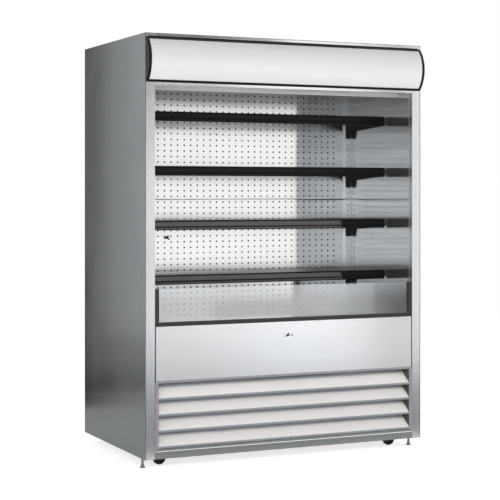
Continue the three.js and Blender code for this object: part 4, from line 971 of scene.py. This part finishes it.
# dark, grey and bright cards that only reflections see, as a studio hangs them round steel:
# name, place, point it faces, size, brightness
flags = [
    ("innerCameraFlag", (-2.736, -6.314, 1.6), (-2.312, -5.408, 1.6), (0.59, 4.6), 0.8),
    ("leftCameraFlag", (-4.363, -5.556, 1.6), (-3.939, -4.65, 1.6), (3.0, 4.6), 0.6),
    ("rightCameraFlag", (-1.109, -7.071, 1.6), (-0.685, -6.165, 1.6), (3.0, 4.6), 0.03),
    ("upperCameraFlag", (-1.96, -6.56, 2.72), (-1.536, -5.654, 2.72), (6.0, 2.2), 0.03),
    ("rearFlag", (-0.84, 1.3, 1.7), (-0.84, 0, 1.7), (0.46, 5.0), 0.02),
    ("rearFloorFlag", (-1.15, 3.2, 0.004), (-1.15, 3.2, 2), (1.0, 2.9), 0.03),
    ("frontFloorFlag", (0.6, -1.7, 0.004), (0.6, -1.7, 2), (5.0, 2.2), 0.25),
    ("frontFloorCard", (1.72, -3.8, 0.005), (1.72, -3.8, 2), (0.75, 2.2), 1.7),
    ("rightFlag", (3.5, -5.45, 2.4), (3.5, 0, 2.4), (0.32, 5.0), 0.02),
    ("sideFloorFlag", (0.45, -3.85, 0.004), (0.45, -3.85, 2), (1.7, 2.1), 0.62),
    ("topFlag", (0.3, -3.0, 2.48), (0.3, 0, 2.48), (1.9, 1.2), 0.03),
    ("middleFlag", (0.7, -3.0, 1.72), (0.7, 0, 1.72), (0.5, 0.24), 0.48),
    ("postFlag", (0.1, -3.0, 1.6), (0.1, 0, 1.6), (0.7, 0.5), 0.45),
]


def facing(place, aim, front):
    return (Vector(aim) - Vector(place)).to_track_quat(front, "Y").to_euler()


def makeFlag(name, place, aim, size, level):
    deselectAll()
    bpy.ops.mesh.primitive_plane_add(size=1, location=place, rotation=facing(place, aim, "Z"))
    bpy.context.object.scale = (*size, 1)
    flag = newPiece(name)
    material = bpy.data.materials.new(name)
    material.use_nodes = True
    tree = material.node_tree
    glow = addNode(tree, "ShaderNodeEmission", Color=stage["cardColour"], Strength=level)
    tree.links.new(glow.outputs["Emission"], tree.nodes["Material Output"].inputs["Surface"])
    flag.data.materials.append(material)
    for ray in ("camera", "diffuse", "transmission", "volume_scatter", "shadow"):
        setattr(flag, "visible_" + ray, False)


# the floor takes the shadow, and glows a little so that it renders as white as the world
def makeFloor():
    deselectAll()
    bpy.ops.mesh.primitive_plane_add(size=stage["floorSize"])
    floor = newPiece("floor")
    material, tree, shader = startMaterial("floorPaint", stage["floorColour"][:3],
                                           stage["floorRoughness"])
    seen = addNode(tree, "ShaderNodeLightPath").outputs["Is Camera Ray"]
    faint = addNode(tree, "ShaderNodeEmission", Strength=stage["floorGlow"])
    lift = addNode(tree, "ShaderNodeEmission", Strength=stage["floorLift"])
    glow = mixedShader(tree, seen, faint.outputs["Emission"], lift.outputs["Emission"])
    both = addNode(tree, "ShaderNodeAddShader")
    tree.links.new(shader.outputs["BSDF"], both.inputs[0])
    tree.links.new(glow, both.inputs[1])
    tree.links.new(both.outputs["Shader"], tree.nodes["Material Output"].inputs["Surface"])
    floor.data.materials.append(material)


def makeLamp(name, place, aim, size, power):
    light = bpy.data.lights.new(name, "AREA")
    light.shape = "RECTANGLE"
    light.size, light.size_y = size
    light.energy = power
    lamp = bpy.data.objects.new(name, light)
    bpy.context.scene.collection.objects.link(lamp)
    lamp.location = place
    lamp.rotation_euler = facing(place, aim, "-Z")
    lamp.visible_glossy = False


# white where the camera, a reflection or the glass sees it, dimmer as light on the cabinet
def makeWorld():
    world = bpy.data.worlds.new("studio")
    bpy.context.scene.world = world
    world.use_nodes = True
    tree = world.node_tree
    tree.nodes.clear()
    ray = addNode(tree, "ShaderNodeLightPath").outputs
    direct = calculated(tree, "MAXIMUM", ray["Is Camera Ray"], ray["Is Glossy Ray"])
    seen = calculated(tree, "MAXIMUM", direct, ray["Is Transmission Ray"])
    soft = addNode(tree, "ShaderNodeBackground", Color=(1, 1, 1, 1), Strength=stage["ambient"])
    white = addNode(tree, "ShaderNodeBackground", Color=(1, 1, 1, 1), Strength=1.0)
    backdrop = mixedShader(tree, seen, soft.outputs["Background"], white.outputs["Background"])
    output = addNode(tree, "ShaderNodeOutputWorld")
    tree.links.new(backdrop, output.inputs["Surface"])


makeFloor()
for flag in flags:
    makeFlag(*flag)
for lamp in lamps:
    makeLamp(*lamp)
makeWorld()

# camera: place and lens found from the cabinet's corners in the photograph
cameraFit = {"place": (-2.548, -5.4467, 1.0554), "yaw": 24.97, "lens": 103.2, "sensor": 36,
             "shiftY": -0.1132, "farthest": 200}
cameraData = bpy.data.cameras.new("camera")
cameraData.lens = cameraFit["lens"]
cameraData.sensor_width = cameraFit["sensor"]
cameraData.shift_y = cameraFit["shiftY"]
cameraData.clip_end = cameraFit["farthest"]
camera = bpy.data.objects.new("camera", cameraData)
bpy.context.scene.collection.objects.link(camera)
camera.location = cameraFit["place"]
camera.rotation_euler = (math.pi / 2, 0, -math.radians(cameraFit["yaw"]))
bpy.context.scene.camera = camera
bpy.context.scene.view_settings.view_transform = "Standard"

print("scene ready")
